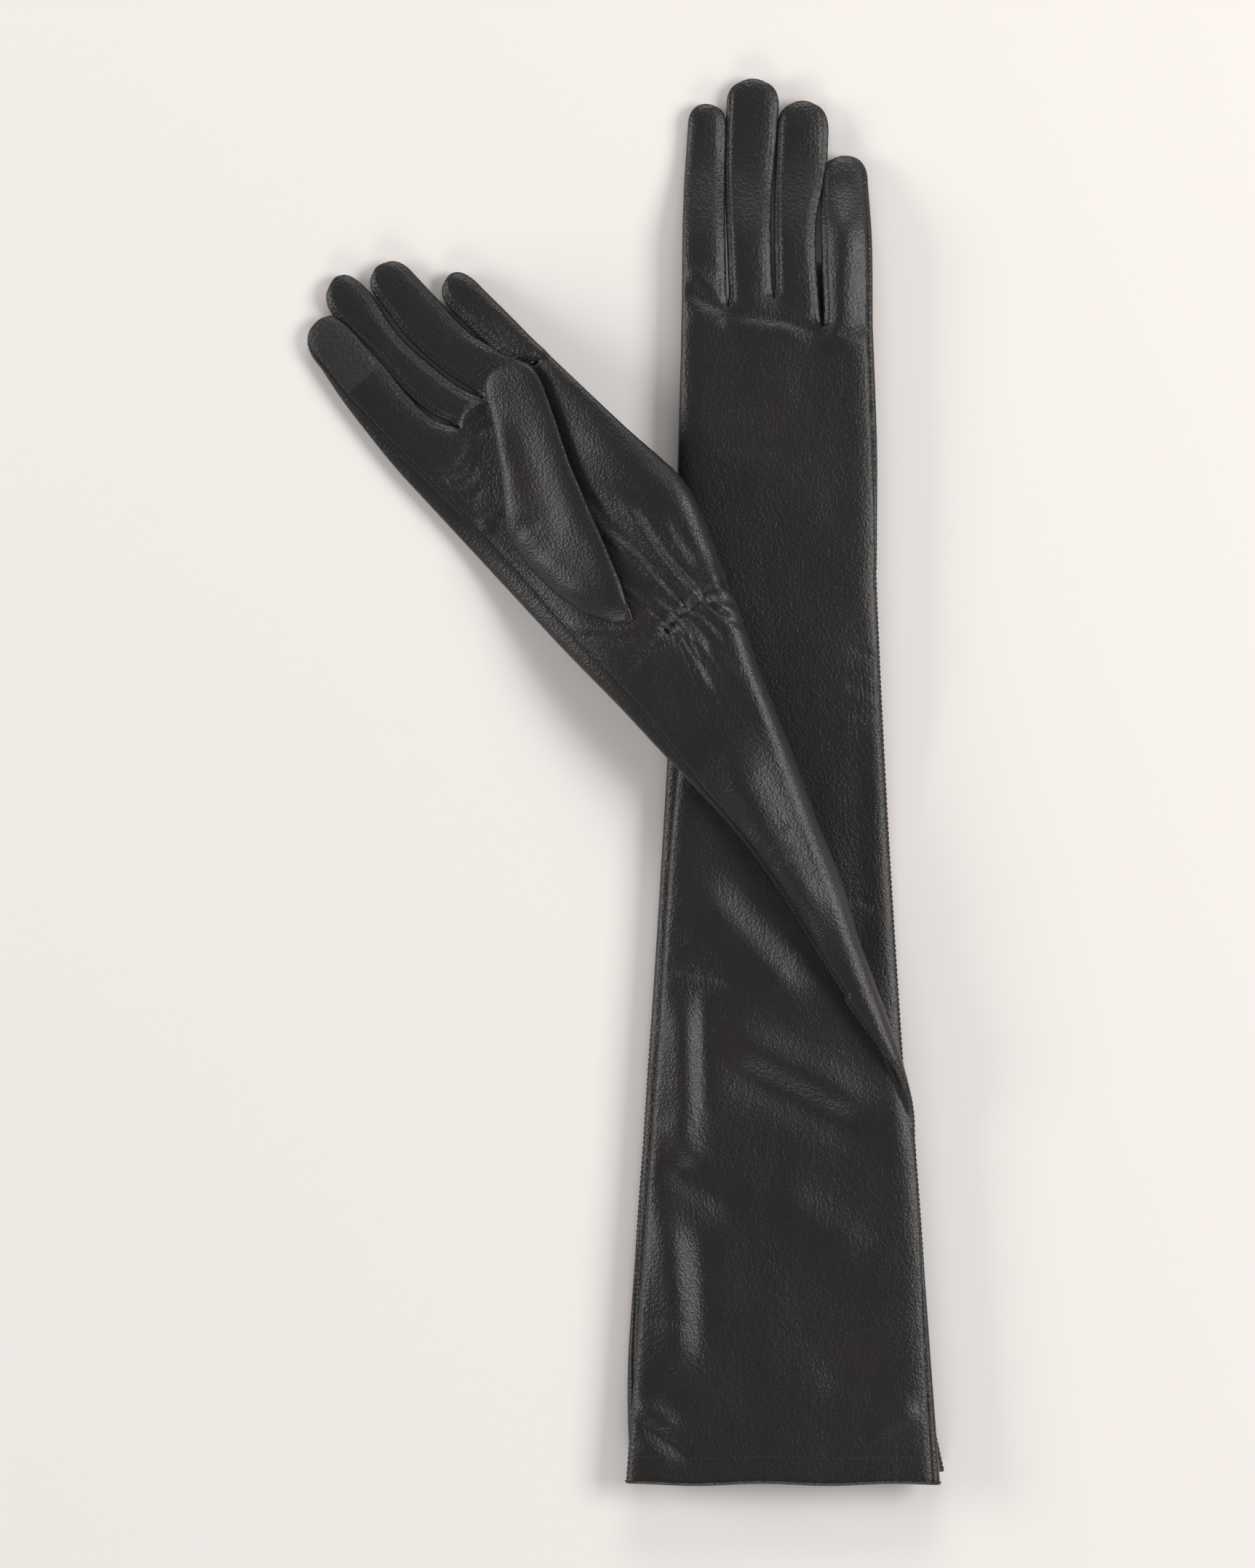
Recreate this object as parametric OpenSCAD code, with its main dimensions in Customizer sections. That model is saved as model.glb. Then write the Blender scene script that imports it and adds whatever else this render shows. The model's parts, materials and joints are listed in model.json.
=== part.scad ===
// A pair of long leather dress gloves, laid flat as they are put away.
// The right glove lies back up. The left glove lies on it, its sleeve folded over, so its palm shows.
// Every piece is drawn on one flat pattern: u runs across the glove towards the index finger, v runs from
// the hem to the fingertips, and w is the height above the glove's middle layer, back of the hand up.

/* [Glove] */
// Length from the hem to the middle fingertip
glove_length = 596; // [490:1:730]
// Length from the wrist to the middle fingertip
hand_length = 211; // [190:1:230]
// Length from the wrist to the roots of the fingers
palm_length = 112; // [95:1:130]
// Flat width at the hem
hem_width = 134; // [108:1:165]
// Flat width at the wrist
wrist_width = 85.5; // [70:1:104]
// How quickly the sleeve widens above the wrist
sleeve_curve = 1.2; // [1:0.05:1.5]
// Thickness of a whole glove lying flat
body_thick = 7.4; // [6.8:0.1:10]

/* [Fingers] */
// Width of the little finger
pinky_w = 22; // [18:0.5:27]
// Width of the ring finger
ring_w = 20; // [17:0.5:24]
// Width of the middle finger
middle_w = 19.3; // [16:0.5:24]
// Width of the index finger
index_w = 19.7; // [16:0.5:24]
// Shortfall of the little finger behind the middle one
pinky_short = 33; // [20:1:42]
// Shortfall of the ring finger behind the middle one
ring_short = 9.3; // [4:0.5:20]
// Shortfall of the index finger behind the middle one
index_short = 10.9; // [4:0.5:22]
// How far each outer fingertip leans in towards the middle of the hand
tip_lean = 1.8; // [0:0.2:3.6]
// Gap between two fingers beside a fourchette
finger_gap = 1.6; // [1:0.1:3]
// Height of a fourchette between the two panels
fourchette_h = 2.6; // [1.8:0.1:4]

/* [Thumb] */
// Length of the thumb beyond its base seam
thumb_length = 115; // [90:1:125]
// Flat width of the thumb at its base
thumb_base_w = 36; // [30:1:40]
// Flat width of the thumb near its tip
thumb_tip_w = 22; // [18:1:26]
// Thickness of the thumb lying flat
thumb_thick = 5.6; // [4.8:0.1:7]
// Angle of the thumb across the palm
thumb_cross = 21; // [5:0.5:28]
// Space between the thumb and the palm
thumb_gap = 1.2; // [0.8:0.1:2]

/* [Materials] */
// Thickness of the leather
leather = 0.8; // [0.6:0.05:1.1]
// Thickness of the knitted lining
lining = 0.4; // [0.3:0.05:0.6]
// Thickness of the sewing thread
thread_d = 0.6; // [0.4:0.05:0.8]
// Thickness of the elastic
elastic_thick = 0.5; // [0.4:0.05:0.8]
// Width of the elastic
elastic_w = 6; // [4:0.5:10]
// Space between the elastic and the lining
elastic_gap = 0.8; // [0.7:0.05:1]
// Depth of the turned hem
hem_depth = 12; // [8:1:20]
// Space left beside a thread
sew_gap = 0.25; // [0.2:0.05:0.4]

/* [Fold and stack] */
// Angle of the fold to the sleeve
fold_slant = 20.2; // [17:0.2:22]
// Distance of the fold below the wrist, on the middle of the sleeve
fold_below_wrist = 88; // [76:1:96]
// Radius inside the fold
fold_inner = 0.5; // [0.4:0.1:2]
// Turn of the left hand beyond its wrist
hand_turn = 1; // [0:0.5:6]
// Sideways lie of the left hand beyond the fold
hand_slide = 4; // [0:0.5:8]
// Space between the two gloves
layer_gap = 1; // [0.8:0.1:2]
// Distance of the left glove's middle line from the right one's
glove_shift = 3; // [-2:0.5:6]
// Sideways pull of the right glove's mouth
mouth_pull = 5; // [0:0.5:8]
// Distance of the left hem below the right one
hem_stagger = 4.4; // [0:0.2:15]
// Where the folded part starts to come down beside the stack
ramp_start = 8; // [0:1:12]
// Where the folded part reaches the table
ramp_end = -60; // [-80:1:-50]

/* [Hidden] */
PIECES = ["back_panel", "palm_panel", "thumb", "thumb_seam", "fourchette_index_middle",
    "fourchette_middle_ring", "fourchette_ring_pinky", "touch_tip", "lining", "hem", "hem_stitching",
    "wrist_elastic", "index_side_seam", "pinky_side_seam", "finger_seams"];

black = "#1d1b1b";
dark = "#262323";
grey = "#3a3636";
thread_black = "#0e0d0d";

half = body_thick / 2;
wrist_v = glove_length - hand_length;
knuckle_w = pinky_w + ring_w + middle_w + index_w;
root_v = wrist_v + palm_length;

// The world place of each glove's hem, and the height that the right hand stands above its thumb
right_x = 63.5;
right_y = -(glove_length - hem_stagger) / 2;
left_x = right_x + glove_shift;
left_y = right_y - hem_stagger;
thumb_rise = thumb_gap + thumb_thick;
rise_start = wrist_v - 135;
rise_end = wrist_v - 18;
fall_start = wrist_v + 136;
fall_end = wrist_v + 182;

// The fold: a roll of the middle layer about a slanting line
fold_r = half + fold_inner;
fold_across = [cos(fold_slant), sin(fold_slant)];
fold_along = [-sin(fold_slant), cos(fold_slant)];
fold_at = (wrist_v - fold_below_wrist) * fold_across[1];
roll = PI * fold_r;

function smooth(x) = let (t = max(0, min(1, x))) t * t * (3 - 2 * t);
function mix(a, b, t) = a + (b - a) * t;
function glove_w(v) = v < wrist_v
    ? wrist_width + (hem_width - wrist_width) * pow(max(0, 1 - v / wrist_v), sleeve_curve)
    : mix(wrist_width, knuckle_w, min(1, (v - wrist_v) / palm_length));

// Height of the right glove's middle layer, which stands on its thumb at the palm
function right_mid(v) = half + thumb_rise * (smooth((v - rise_start) / (rise_end - rise_start))
    - smooth((v - fall_start) / (fall_end - fall_start)));

// The right glove's mouth is pulled a little sideways towards the little finger's side
pull_length = 60;
function right_place(u, v, w) = [right_x - u + mouth_pull * pow(max(0, 1 - v / pull_length), 2), right_y + v,
    right_mid(v) + w];

// The left hand lies a little sideways, and turns a little towards the index finger beyond the wrist
slide_length = 130;
function turned(u, v) = let (a = hand_turn * smooth((v - wrist_v + 20) / 50), far = max(0, v - wrist_v),
    side = u + hand_slide * smooth((v - wrist_v + slide_length) / slide_length))
    [side * cos(a) + far * sin(a), min(v, wrist_v) + far * cos(a) - side * sin(a)];

// The left glove rolls over the fold, and what lies beyond it comes down beside the stack
function left_place(u, v, w) = let (
    p = turned(u, v),
    q = p * fold_across,
    t = p * fold_along,
    s = q - fold_at,
    a = max(0, min(180, s / fold_r * 180 / PI)),
    across = s <= 0 ? q : s >= roll ? fold_at - (s - roll) : fold_at + (fold_r - w) * sin(a),
    high = fold_r - (fold_r - w) * cos(a),
    xy = across * fold_across + t * fold_along,
    x = left_x + xy[0],
    y = left_y + xy[1],
    stack = right_mid(y - right_y) + body_thick + layer_gap,
    drop = s > roll / 2 ? 1 - smooth((x - ramp_end) / (ramp_start - ramp_end)) : 0)
    [x, y, high + stack - drop * (stack + 2 * fold_r - half)];

function place(left, p) = left ? left_place(p[0], p[1], p[2]) : right_place(p[0], p[1], p[2]);

// ---- The pattern's grid: 16 places across, from the little finger's edge to the index finger's edge.
// Where two fingers meet there are two places, which are one until the fingers part.
finger_widths = [pinky_w, ring_w, middle_w, index_w];
root_edges = [for (i = 0, x = 0; i <= 4; x = x + (i < 4 ? finger_widths[i] : 0), i = i + 1) x / knuckle_w];
first_slot = [0, 5, 8, 11];
last_slot = [4, 7, 10, 15];
function finger_of(c) = c <= 4 ? 0 : c <= 7 ? 1 : c <= 10 ? 2 : 3;

// Share of the width at which a place stands, and how far in from the edge it is, for a layer d deep
edge_round = 5;
edge_step = 1.3;
function share(c) = let (f = finger_of(c), a = root_edges[f], b = root_edges[f + 1])
    c <= 2 ? 0 : c >= 13 ? 1 : c == first_slot[f] ? a : c == last_slot[f] ? b : (a + b) / 2;
function inset(c, d) = c == 0 ? d : c == 1 ? edge_step + 0.7 * d : c == 2 ? edge_round + 0.4 * d
    : c == 13 ? -edge_round - 0.4 * d : c == 14 ? -edge_step - 0.7 * d : c == 15 ? -d : 0;
function high(c, d) = (c == 0 || c == 15) ? 0 : (c == 1 || c == 14) ? 0.72 * half - 0.75 * d : half - d;

// How far beyond the wrist the roots of the fingers lie, at each place across
root_shape = [-13, -13, -12.5, -11, -8.7, -8.7, -2, 3.7, 3.7, 3.4, 0.6, 0.6, 0, 0, 0, 0];
function mid_u(f) = ((root_edges[f] + root_edges[f + 1]) / 2 - 0.5) * knuckle_w;
tip_u = [for (f = [0:3]) mid_u(f) - (f - 1.5) / 1.5 * tip_lean];
tip_v = [for (short = [pinky_short, ring_short, 0, index_short]) glove_length - short];
finger_steps = [0.12, 0.35, 0.6, 0.8, 0.92, 0.98, 1];
finger_round = [0.98, 0.97, 0.96, 0.9, 0.74, 0.5, 0.2];
finger_flat = [1, 1, 1, 1, 0.9, 0.7, 0.3];

// Rows: the pattern length at the index edge and at the little finger's edge, up to the roots of the fingers
function edge_v(side, q, v, n) = n == 0 ? v : let (
    p = turned(side * glove_w(v) / 2, v),
    miss = q - p * fold_across)
    edge_v(side, q, v + 0.8 * miss / fold_across[1], n - 1);
function fold_row(q) = [edge_v(1, q, wrist_v / 2, 24), edge_v(-1, q, wrist_v, 24)];
fold_first = fold_row(fold_at);
fold_last = fold_row(fold_at + roll);
upper_last = [root_v - 16, root_v - 24];
sleeve_rows = 10;
fold_rows = 7;
upper_rows = 9;
left_rows = concat([[0, 0]],
    [for (i = [0:sleeve_rows]) mix([hem_depth, hem_depth], fold_first, i / sleeve_rows)],
    [for (i = [1:fold_rows]) fold_row(fold_at + roll * i / fold_rows)],
    [for (i = [1:upper_rows]) mix(fold_last, upper_last, i / upper_rows)]);
right_rows = concat([[0, 0], [hem_depth, hem_depth]],
    [for (i = [1:4]) mix([hem_depth, hem_depth], [rise_start, rise_start], i / 4)],
    [for (i = [1:4]) mix([rise_start, rise_start], [rise_end, rise_end], i / 4)],
    [[wrist_v + 16, wrist_v + 14], [wrist_v + 44, wrist_v + 38], [wrist_v + 70, wrist_v + 62], upper_last]);
function rows_of(left) = left ? left_rows : right_rows;
function roots(left) = len(rows_of(left));
function row_count(left) = roots(left) + 1 + len(finger_steps);

// One point of the pattern: row r, place c, depth d below the outside of the glove, back (1) or palm (-1)
function body_spot(left, side, r, c, d) = let (
    ends = rows_of(left)[r],
    wide = glove_w((ends[0] + ends[1]) / 2),
    wi = glove_w(ends[0]),
    wp = glove_w(ends[1]),
    f = share(c) + inset(c, d) / wide)
    [mix(-wp / 2, wi / 2, f), mix(ends[1], ends[0], f), side * high(c, d)];
function forked(c) = c == 4 || c == 5 || c == 7 || c == 8 || c == 10 || c == 11;
function finger_high(c, d) = forked(c) ? fourchette_h / 2 + leather - d : high(c, d);
function root_spot(side, c, d) = [(share(c) - 0.5) * knuckle_w + inset(c, d), root_v + root_shape[c],
    side * finger_high(c, d)];
function finger_spot(side, k, c, d) = let (
    f = finger_of(c),
    s = finger_steps[k],
    root = root_spot(side, c, 0),
    wide = finger_widths[f],
    mid = mid_u(f),
    off = root[0] + inset(c, d) - inset(c, 0) - mid,
    gap = (forked(c) ? -sign(off) * finger_gap / 2 : 0))
    [mix(mid, tip_u[f], s) + (off + gap) * finger_round[k], mix(root[1], tip_v[f], s),
     side * finger_high(c, d) * finger_flat[k]];
function spot(left, side, r, c, d) = let (k = r - roots(left))
    k < 0 ? body_spot(left, side, r, c, d) : k == 0 ? root_spot(side, c, d) : finger_spot(side, k - 1, c, d);

// ---- Closed solids from cells of the grid
function split(c) = c == 4 || c == 7 || c == 10;
function same_as(left, r, c) = (r <= roots(left) && (c == 5 || c == 8 || c == 11)) ? c - 1 : c;

// A sheet between depths d0 and d1, over rows r0 to r1, on the given sides. cut names the cells left out.
module sheet_of(left, sides, r0, r1, d0, d1, cut) {
    nr = r1 - r0 + 1;
    tube = len(sides) > 1;
    points = [for (side = sides) for (d = [d0, d1]) for (r = [r0:r1]) for (c = [0:15])
        place(left, spot(left, side, r, c, d))];
    function at(k, low, r, c) = ((((tube && (c == 0 || c == 15)) ? 0 : k) * 2 + low) * nr + r - r0) * 16
        + same_as(left, r, c);
    function next(r, c, step) = (split(c + step) && r < roots(left)) ? c + 2 * step : c + step;
    function is_in(r, c) = r >= r0 && r < r1 && c >= 0 && c < 15 && !(split(c) && r >= roots(left))
        && len([for (h = cut) if (r >= h[0] && r < h[1] && c >= h[2] && c < h[3]) 1]) == 0;
    function wall(k, r, c, s, b) = [[at(k, 0, r, c), at(k, 0, s, b), at(k, 1, s, b)],
        [at(k, 0, r, c), at(k, 1, s, b), at(k, 1, r, c)]];
    function cell(k, r, c) = concat(
        [[at(k, 0, r, c), at(k, 0, r + 1, c), at(k, 0, r + 1, c + 1)],
         [at(k, 0, r, c), at(k, 0, r + 1, c + 1), at(k, 0, r, c + 1)],
         [at(k, 1, r, c), at(k, 1, r + 1, c + 1), at(k, 1, r + 1, c)],
         [at(k, 1, r, c), at(k, 1, r, c + 1), at(k, 1, r + 1, c + 1)]],
        is_in(r - 1, c) ? [] : wall(k, r, c, r, c + 1),
        is_in(r + 1, c) ? [] : wall(k, r + 1, c + 1, r + 1, c),
        (is_in(r, next(r, c, -1)) || (tube && c == 0)) ? [] : wall(k, r + 1, c, r, c),
        (is_in(r, next(r, c, 1)) || (tube && c == 14)) ? [] : wall(k, r, c + 1, r + 1, c + 1));
    faces = [for (k = [0:len(sides) - 1]) for (r = [r0:r1 - 1]) for (c = [0:14]) if (is_in(r, c) && !split(c))
        for (f = cell(k, r, c)) (sides[k] > 0) == left ? f : [f[2], f[1], f[0]]];
    polyhedron(points = points, faces = faces, convexity = 10);
}

// A bar whose rings, lists of pattern points, run along it
module bar(left, rings, flip = false) {
    n = len(rings[0]);
    m = len(rings);
    points = [for (ring = rings) for (p = ring) place(left, p)];
    sides = [for (i = [0:m - 2]) for (j = [0:n - 1]) let (a = i * n + j, b = i * n + (j + 1) % n)
        for (f = [[a, b, b + n], [a, b + n, a + n]]) f];
    ends = concat([for (j = [1:n - 2]) [0, j + 1, j]],
        [for (j = [1:n - 2]) [(m - 1) * n, (m - 1) * n + j, (m - 1) * n + j + 1]]);
    faces = [for (f = concat(sides, ends)) left != flip ? f : [f[2], f[1], f[0]]];
    polyhedron(points = points, faces = faces, convexity = 6);
}

// ---- The pieces of one glove
touch_row = 3;

module back_panel(left) {
    color(black) sheet_of(left, [1], 0, row_count(left) - 1, 0, leather, []);
}

// The palm panel stops short on the index finger, for the touch tip, and has a hole for the thumb
module palm_panel(left) {
    last = row_count(left) - 1;
    color(black) sheet_of(left, [-1], 0, last, 0, leather,
        [[roots(left) + touch_row, last, 11, 15], [roots(left) - 4, roots(left) - 3, 8, 12]]);
}

module touch_tip(left) {
    last = row_count(left) - 1;
    color(grey) sheet_of(left, [-1], roots(left) + touch_row, last, 0, leather, [[0, last, 0, 11]]);
}

module lining(left) {
    color(dark) sheet_of(left, [1, -1], 1, roots(left) - 1, leather, leather + lining, []);
}

// The turned hem lies inside the leather, and the lining starts where it ends
module hem(left) {
    color(black) sheet_of(left, [1, -1], 0, 1, leather, leather + lining, []);
}

// Two rows of thread across the mouth: one on the back, and one that shows on the inside of the palm
module hem_stitching(left) {
    r = thread_d / 2;
    seam_v = hem_depth - 2;
    wide = glove_w(seam_v) / 2 - edge_round - 2;
    color(thread_black) for (w = [half + sew_gap + r, -(half - leather - lining - sew_gap - r)])
        bar(left, [for (u = [-wide, wide]) [[u, seam_v - r, w], [u, seam_v, w - r], [u, seam_v + r, w],
            [u, seam_v, w + r]]], true);
}

// A strip across the inside of the palm at the wrist, which shirrs the leather
elastic_ends = [-28, 22];
elastic_steps = 20;
module wrist_elastic(left) {
    low = -(half - leather - lining - elastic_gap);
    high = low + elastic_thick;
    a = wrist_v - elastic_w / 2;
    b = wrist_v + elastic_w / 2;
    color(grey) bar(left, [for (i = [0:elastic_steps])
        let (u = mix(elastic_ends[0], elastic_ends[1], i / elastic_steps))
        [[u, a, low], [u, b, low], [u, b, high], [u, a, high]]], true);
}

// A thread along one long edge, where the two panels meet: c is the edge's place, 0 or 15
module side_seam(left, c) {
    last = row_count(left) - 1;
    out = (c == 0 ? -1 : 1) * (sew_gap + thread_d / 2);
    r = thread_d / 2;
    rows = [for (i = [0:last]) spot(left, 1, i, c, 0)];
    color(thread_black) bar(left, [for (p = rows) [[p[0] + out - r, p[1], 0], [p[0] + out, p[1], r],
        [p[0] + out + r, p[1], 0], [p[0] + out, p[1], -r]]], true);
}

// The forked strip between finger f and finger f + 1, from one fingertip down to the root and up the next
fourchette_rows = 5;
module fourchette(left, f) {
    a = last_slot[f];
    b = first_slot[f + 1];
    base = roots(left);
    h = fourchette_h / 2 - 0.05;
    wall = leather * 0.9;
    function ring(p, iu, iv, k) = let (
        t = h * (k == 0 ? 1 : finger_flat[k - 1]),
        u = p[0] + iu * wall,
        v = p[1] + iv * wall)
        [[p[0], p[1], -t], [u, v, -t], [u, v, t], [p[0], p[1], t]];
    color(black) bar(left, concat(
        [for (k = [fourchette_rows:-1:1]) ring(spot(left, 1, base + k, a, 0), -1, 0, k)],
        [ring(spot(left, 1, base, a, 0), 0, -1, 0)],
        [for (k = [1:fourchette_rows]) ring(spot(left, 1, base + k, b, 0), 1, 0, k)]));
}

// Threads along the back of each finger, beside its fourchettes
module finger_seams(left) {
    r = thread_d / 2;
    up = sew_gap + r + fourchette_h / 2 + leather;
    color(thread_black) for (c = [4, 5, 7, 8, 10, 11]) bar(left, [for (k = [1:fourchette_rows])
        let (p = spot(left, 1, roots(left) + k, c, 0),
            u = p[0] + (c == last_slot[finger_of(c)] ? -r : r),
            w = up * finger_flat[k - 1])
        [[u - r, p[1], w], [u, p[1], w + r], [u + r, p[1], w], [u, p[1], w - 0.6 * r]]], true);
}

// The thumb: a hollow tube, open at its base over the hole in the palm, across the palm
thumb_base = [15.5, wrist_v + 16];
thumb_way = [-sin(thumb_cross), cos(thumb_cross)];
thumb_side = [cos(thumb_cross), sin(thumb_cross)];
thumb_steps = [0, 0.15, 0.3, 0.45, 0.6, 0.75, 0.87, 0.95, 0.99];
thumb_round = [1, 1, 1, 1, 1, 1, 0.93, 0.72, 0.4];
thumb_outline = [[-1, 0], [-0.85, 0.8], [-0.5, 1], [0.5, 1], [0.85, 0.8], [1, 0], [0.85, -0.8], [0.5, -1],
    [-0.5, -1], [-0.85, -0.8]];
thumb_mid_w = -(half + thumb_gap + thumb_thick / 2);
function thumb_ring(k, d) = let (
    s = thumb_steps[k],
    flat = min(1, 0.4 + thumb_round[k] * 0.6),
    wide = mix(thumb_base_w, thumb_tip_w, min(1, s * 1.25)) / 2 * thumb_round[k] - d,
    at = thumb_base + thumb_way * (thumb_length * s - (s > 0.9 ? d : 0)))
    [for (p = thumb_outline) [at[0] + p[0] * wide * thumb_side[0], at[1] + p[0] * wide * thumb_side[1],
        thumb_mid_w + p[1] * (thumb_thick / 2 * flat - d)]];
module thumb(left) {
    n = len(thumb_outline);
    m = len(thumb_steps);
    points = [for (d = [0, leather]) for (k = [0:m - 1]) for (p = thumb_ring(k, d)) place(left, p)];
    far = (m - 1) * n;
    skin = [for (i = [0:m - 2]) for (j = [0:n - 1]) let (a = i * n + j, b = i * n + (j + 1) % n)
        for (f = [[a, b, b + n], [a, b + n, a + n]]) f];
    cap = [for (j = [1:n - 2]) [far, far + j, far + j + 1]];
    mouth = [for (j = [0:n - 1]) let (b = (j + 1) % n, c = m * n)
        for (f = [[j, b + c, b], [j, j + c, b + c]]) f];
    inner = [for (f = concat(skin, cap)) [f[2] + m * n, f[1] + m * n, f[0] + m * n]];
    faces = [for (f = concat(skin, cap, mouth, inner)) left ? [f[2], f[1], f[0]] : f];
    color(black) polyhedron(points = points, faces = faces, convexity = 6);
}

// A thread round the thumb's base, on the palm: how deep its curve dips, how far its two ends run on, and
// how far up the palm it stands
seam_dip = 18;
seam_tail = 12;
seam_up = 6;
module thumb_seam(left) {
    r = thread_d / 2;
    w = -(half + sew_gap + r);
    wide = thumb_base_w / 2;
    color(thread_black) bar(left, [for (i = [0:8]) let (
        a = 180 + i * 22.5,
        x = wide * cos(a),
        y = seam_dip * sin(a) + (i == 0 || i == 8 ? seam_tail : 0),
        p = thumb_base + [0, seam_up] + thumb_side * x + thumb_way * y,
        o = thumb_side * cos(a) + thumb_way * sin(a))
        [[p[0] - o[0] * r, p[1] - o[1] * r, w], [p[0], p[1], w + r], [p[0] + o[0] * r, p[1] + o[1] * r, w],
         [p[0], p[1], w - r]]], true);
}

module piece_of(name, left) {
    if (name == "back_panel") back_panel(left);
    if (name == "palm_panel") palm_panel(left);
    if (name == "thumb") thumb(left);
    if (name == "thumb_seam") thumb_seam(left);
    if (name == "fourchette_index_middle") fourchette(left, 2);
    if (name == "fourchette_middle_ring") fourchette(left, 1);
    if (name == "fourchette_ring_pinky") fourchette(left, 0);
    if (name == "touch_tip") touch_tip(left);
    if (name == "lining") lining(left);
    if (name == "hem") hem(left);
    if (name == "hem_stitching") hem_stitching(left);
    if (name == "wrist_elastic") wrist_elastic(left);
    if (name == "index_side_seam") side_seam(left, 15);
    if (name == "pinky_side_seam") side_seam(left, 0);
    if (name == "finger_seams") finger_seams(left);
}

for (name = PIECES) {
    piece_of(name, false);
    piece_of(name, true);
}
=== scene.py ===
import json
import math

import bpy
import numpy as np
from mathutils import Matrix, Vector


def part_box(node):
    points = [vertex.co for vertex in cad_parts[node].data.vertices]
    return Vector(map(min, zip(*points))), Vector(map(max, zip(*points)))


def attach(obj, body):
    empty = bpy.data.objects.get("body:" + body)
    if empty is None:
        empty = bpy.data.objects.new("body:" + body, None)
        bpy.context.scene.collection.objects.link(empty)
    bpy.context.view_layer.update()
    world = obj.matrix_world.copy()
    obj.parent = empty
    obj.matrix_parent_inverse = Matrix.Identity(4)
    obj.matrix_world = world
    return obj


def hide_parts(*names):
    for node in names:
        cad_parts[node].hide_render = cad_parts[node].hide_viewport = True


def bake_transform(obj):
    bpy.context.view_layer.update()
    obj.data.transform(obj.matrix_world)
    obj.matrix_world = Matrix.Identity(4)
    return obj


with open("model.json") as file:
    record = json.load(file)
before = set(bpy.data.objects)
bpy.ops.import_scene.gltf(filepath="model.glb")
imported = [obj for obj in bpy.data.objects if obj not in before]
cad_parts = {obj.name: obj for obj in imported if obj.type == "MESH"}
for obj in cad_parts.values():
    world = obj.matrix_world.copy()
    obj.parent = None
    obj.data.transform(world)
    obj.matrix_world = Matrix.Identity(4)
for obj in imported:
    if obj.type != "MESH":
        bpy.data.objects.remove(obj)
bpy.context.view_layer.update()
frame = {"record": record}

# ---- The table, the light and the view
# The pair lies on a plain pale card table under large soft lamps, and is looked at from straight above.
# The lamps stand all round, 20 to 40 degrees up, so that flat leather stays dark and slopes catch the light.
VIEW_HEIGHT = 4.0
VIEW_TALL = 0.6722
VIEW_MIDDLE = -0.002
SENSOR = 36.0
camera = bpy.data.objects.new("camera", bpy.data.cameras.new("camera"))
camera.data.sensor_width = SENSOR
camera.data.lens = SENSOR * VIEW_HEIGHT / VIEW_TALL
camera.data.clip_end = 50
camera.location = (0, VIEW_MIDDLE, VIEW_HEIGHT)
bpy.context.scene.collection.objects.link(camera)
bpy.context.scene.camera = camera
bpy.context.scene.view_settings.view_transform = "Standard"

LIGHT_COLOUR = (1.0, 0.985, 0.97)
ROOM_LIGHT = 0.21
world = bpy.data.worlds.new("room")
world.use_nodes = True
world.node_tree.nodes["Background"].inputs["Color"].default_value = (*LIGHT_COLOUR, 1)
world.node_tree.nodes["Background"].inputs["Strength"].default_value = ROOM_LIGHT
bpy.context.scene.world = world


def soft_lamp(name, place, wide, tall, power):
    lamp = bpy.data.lights.new(name, "AREA")
    lamp.shape = "RECTANGLE"
    lamp.size = wide
    lamp.size_y = tall
    lamp.energy = power
    lamp.color = LIGHT_COLOUR
    made = bpy.data.objects.new(name, lamp)
    made.location = place
    made.rotation_euler = (-made.location).to_track_quat("-Z", "Y").to_euler()
    bpy.context.scene.collection.objects.link(made)


soft_lamp("lamp_left", (-2.4, 0.3, 0.95), 1.4, 0.7, 36)
soft_lamp("lamp_right", (1.95, 0.25, 1.6), 1.4, 1.0, 45)
soft_lamp("lamp_far", (0.1, 2.4, 1.2), 1.6, 0.8, 30)
soft_lamp("lamp_near", (0.0, -2.5, 1.2), 1.6, 0.8, 26)

TABLE_HALF = 3.0
TABLE_TOP = -0.0004
CARD_COLOUR = (0.80, 0.765, 0.745)
table_corners = [(TABLE_HALF * x, TABLE_HALF * y, TABLE_TOP) for x, y in ((-1, -1), (1, -1), (1, 1), (-1, 1))]
table_mesh = bpy.data.meshes.new("table")
table_mesh.from_pydata(table_corners, [], [(0, 1, 2, 3)])
table = bpy.data.objects.new("table", table_mesh)
bpy.context.scene.collection.objects.link(table)
card = bpy.data.materials.new("pale_card")
card.use_nodes = True
card_shader = card.node_tree.nodes["Principled BSDF"]
card_shader.inputs["Base Color"].default_value = (*CARD_COLOUR, 1)
card_shader.inputs["Roughness"].default_value = 0.9
card_shader.inputs["Specular IOR Level"].default_value = 0.1
table_mesh.materials.append(card)

# ---- How the pair lies
# Each glove is cut on one flat pattern, in millimetres: u runs across towards the index finger, v from the
# hem to the fingertips, and w is the height above the middle of the flat glove, back of the hand up.
# The right glove lies straight. The left one rolls over a slanting fold, so that its hand shows its palm.
MM = 0.001
mounts = {m["name"]: [x / MM for x in m["pos_m"]] for m in frame["record"]["mounts"]}
elastic_low, elastic_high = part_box("right_wrist_elastic")
left_x, left_y = mounts["left_mouth"][:2]
right_y = mounts["right_mouth"][1]
HALF = mounts["right_mouth"][2]
GLOVE_SHIFT = 3.0
right_x = left_x - GLOVE_SHIFT
WRIST = (elastic_low.y + elastic_high.y) / 2 / MM - right_y
LAYER_GAP = 1.0
THUMB_GAP = 1.2
THUMB_THICK = 5.6
RISE_FROM, RISE_LENGTH = -135.0, 117.0
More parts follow.
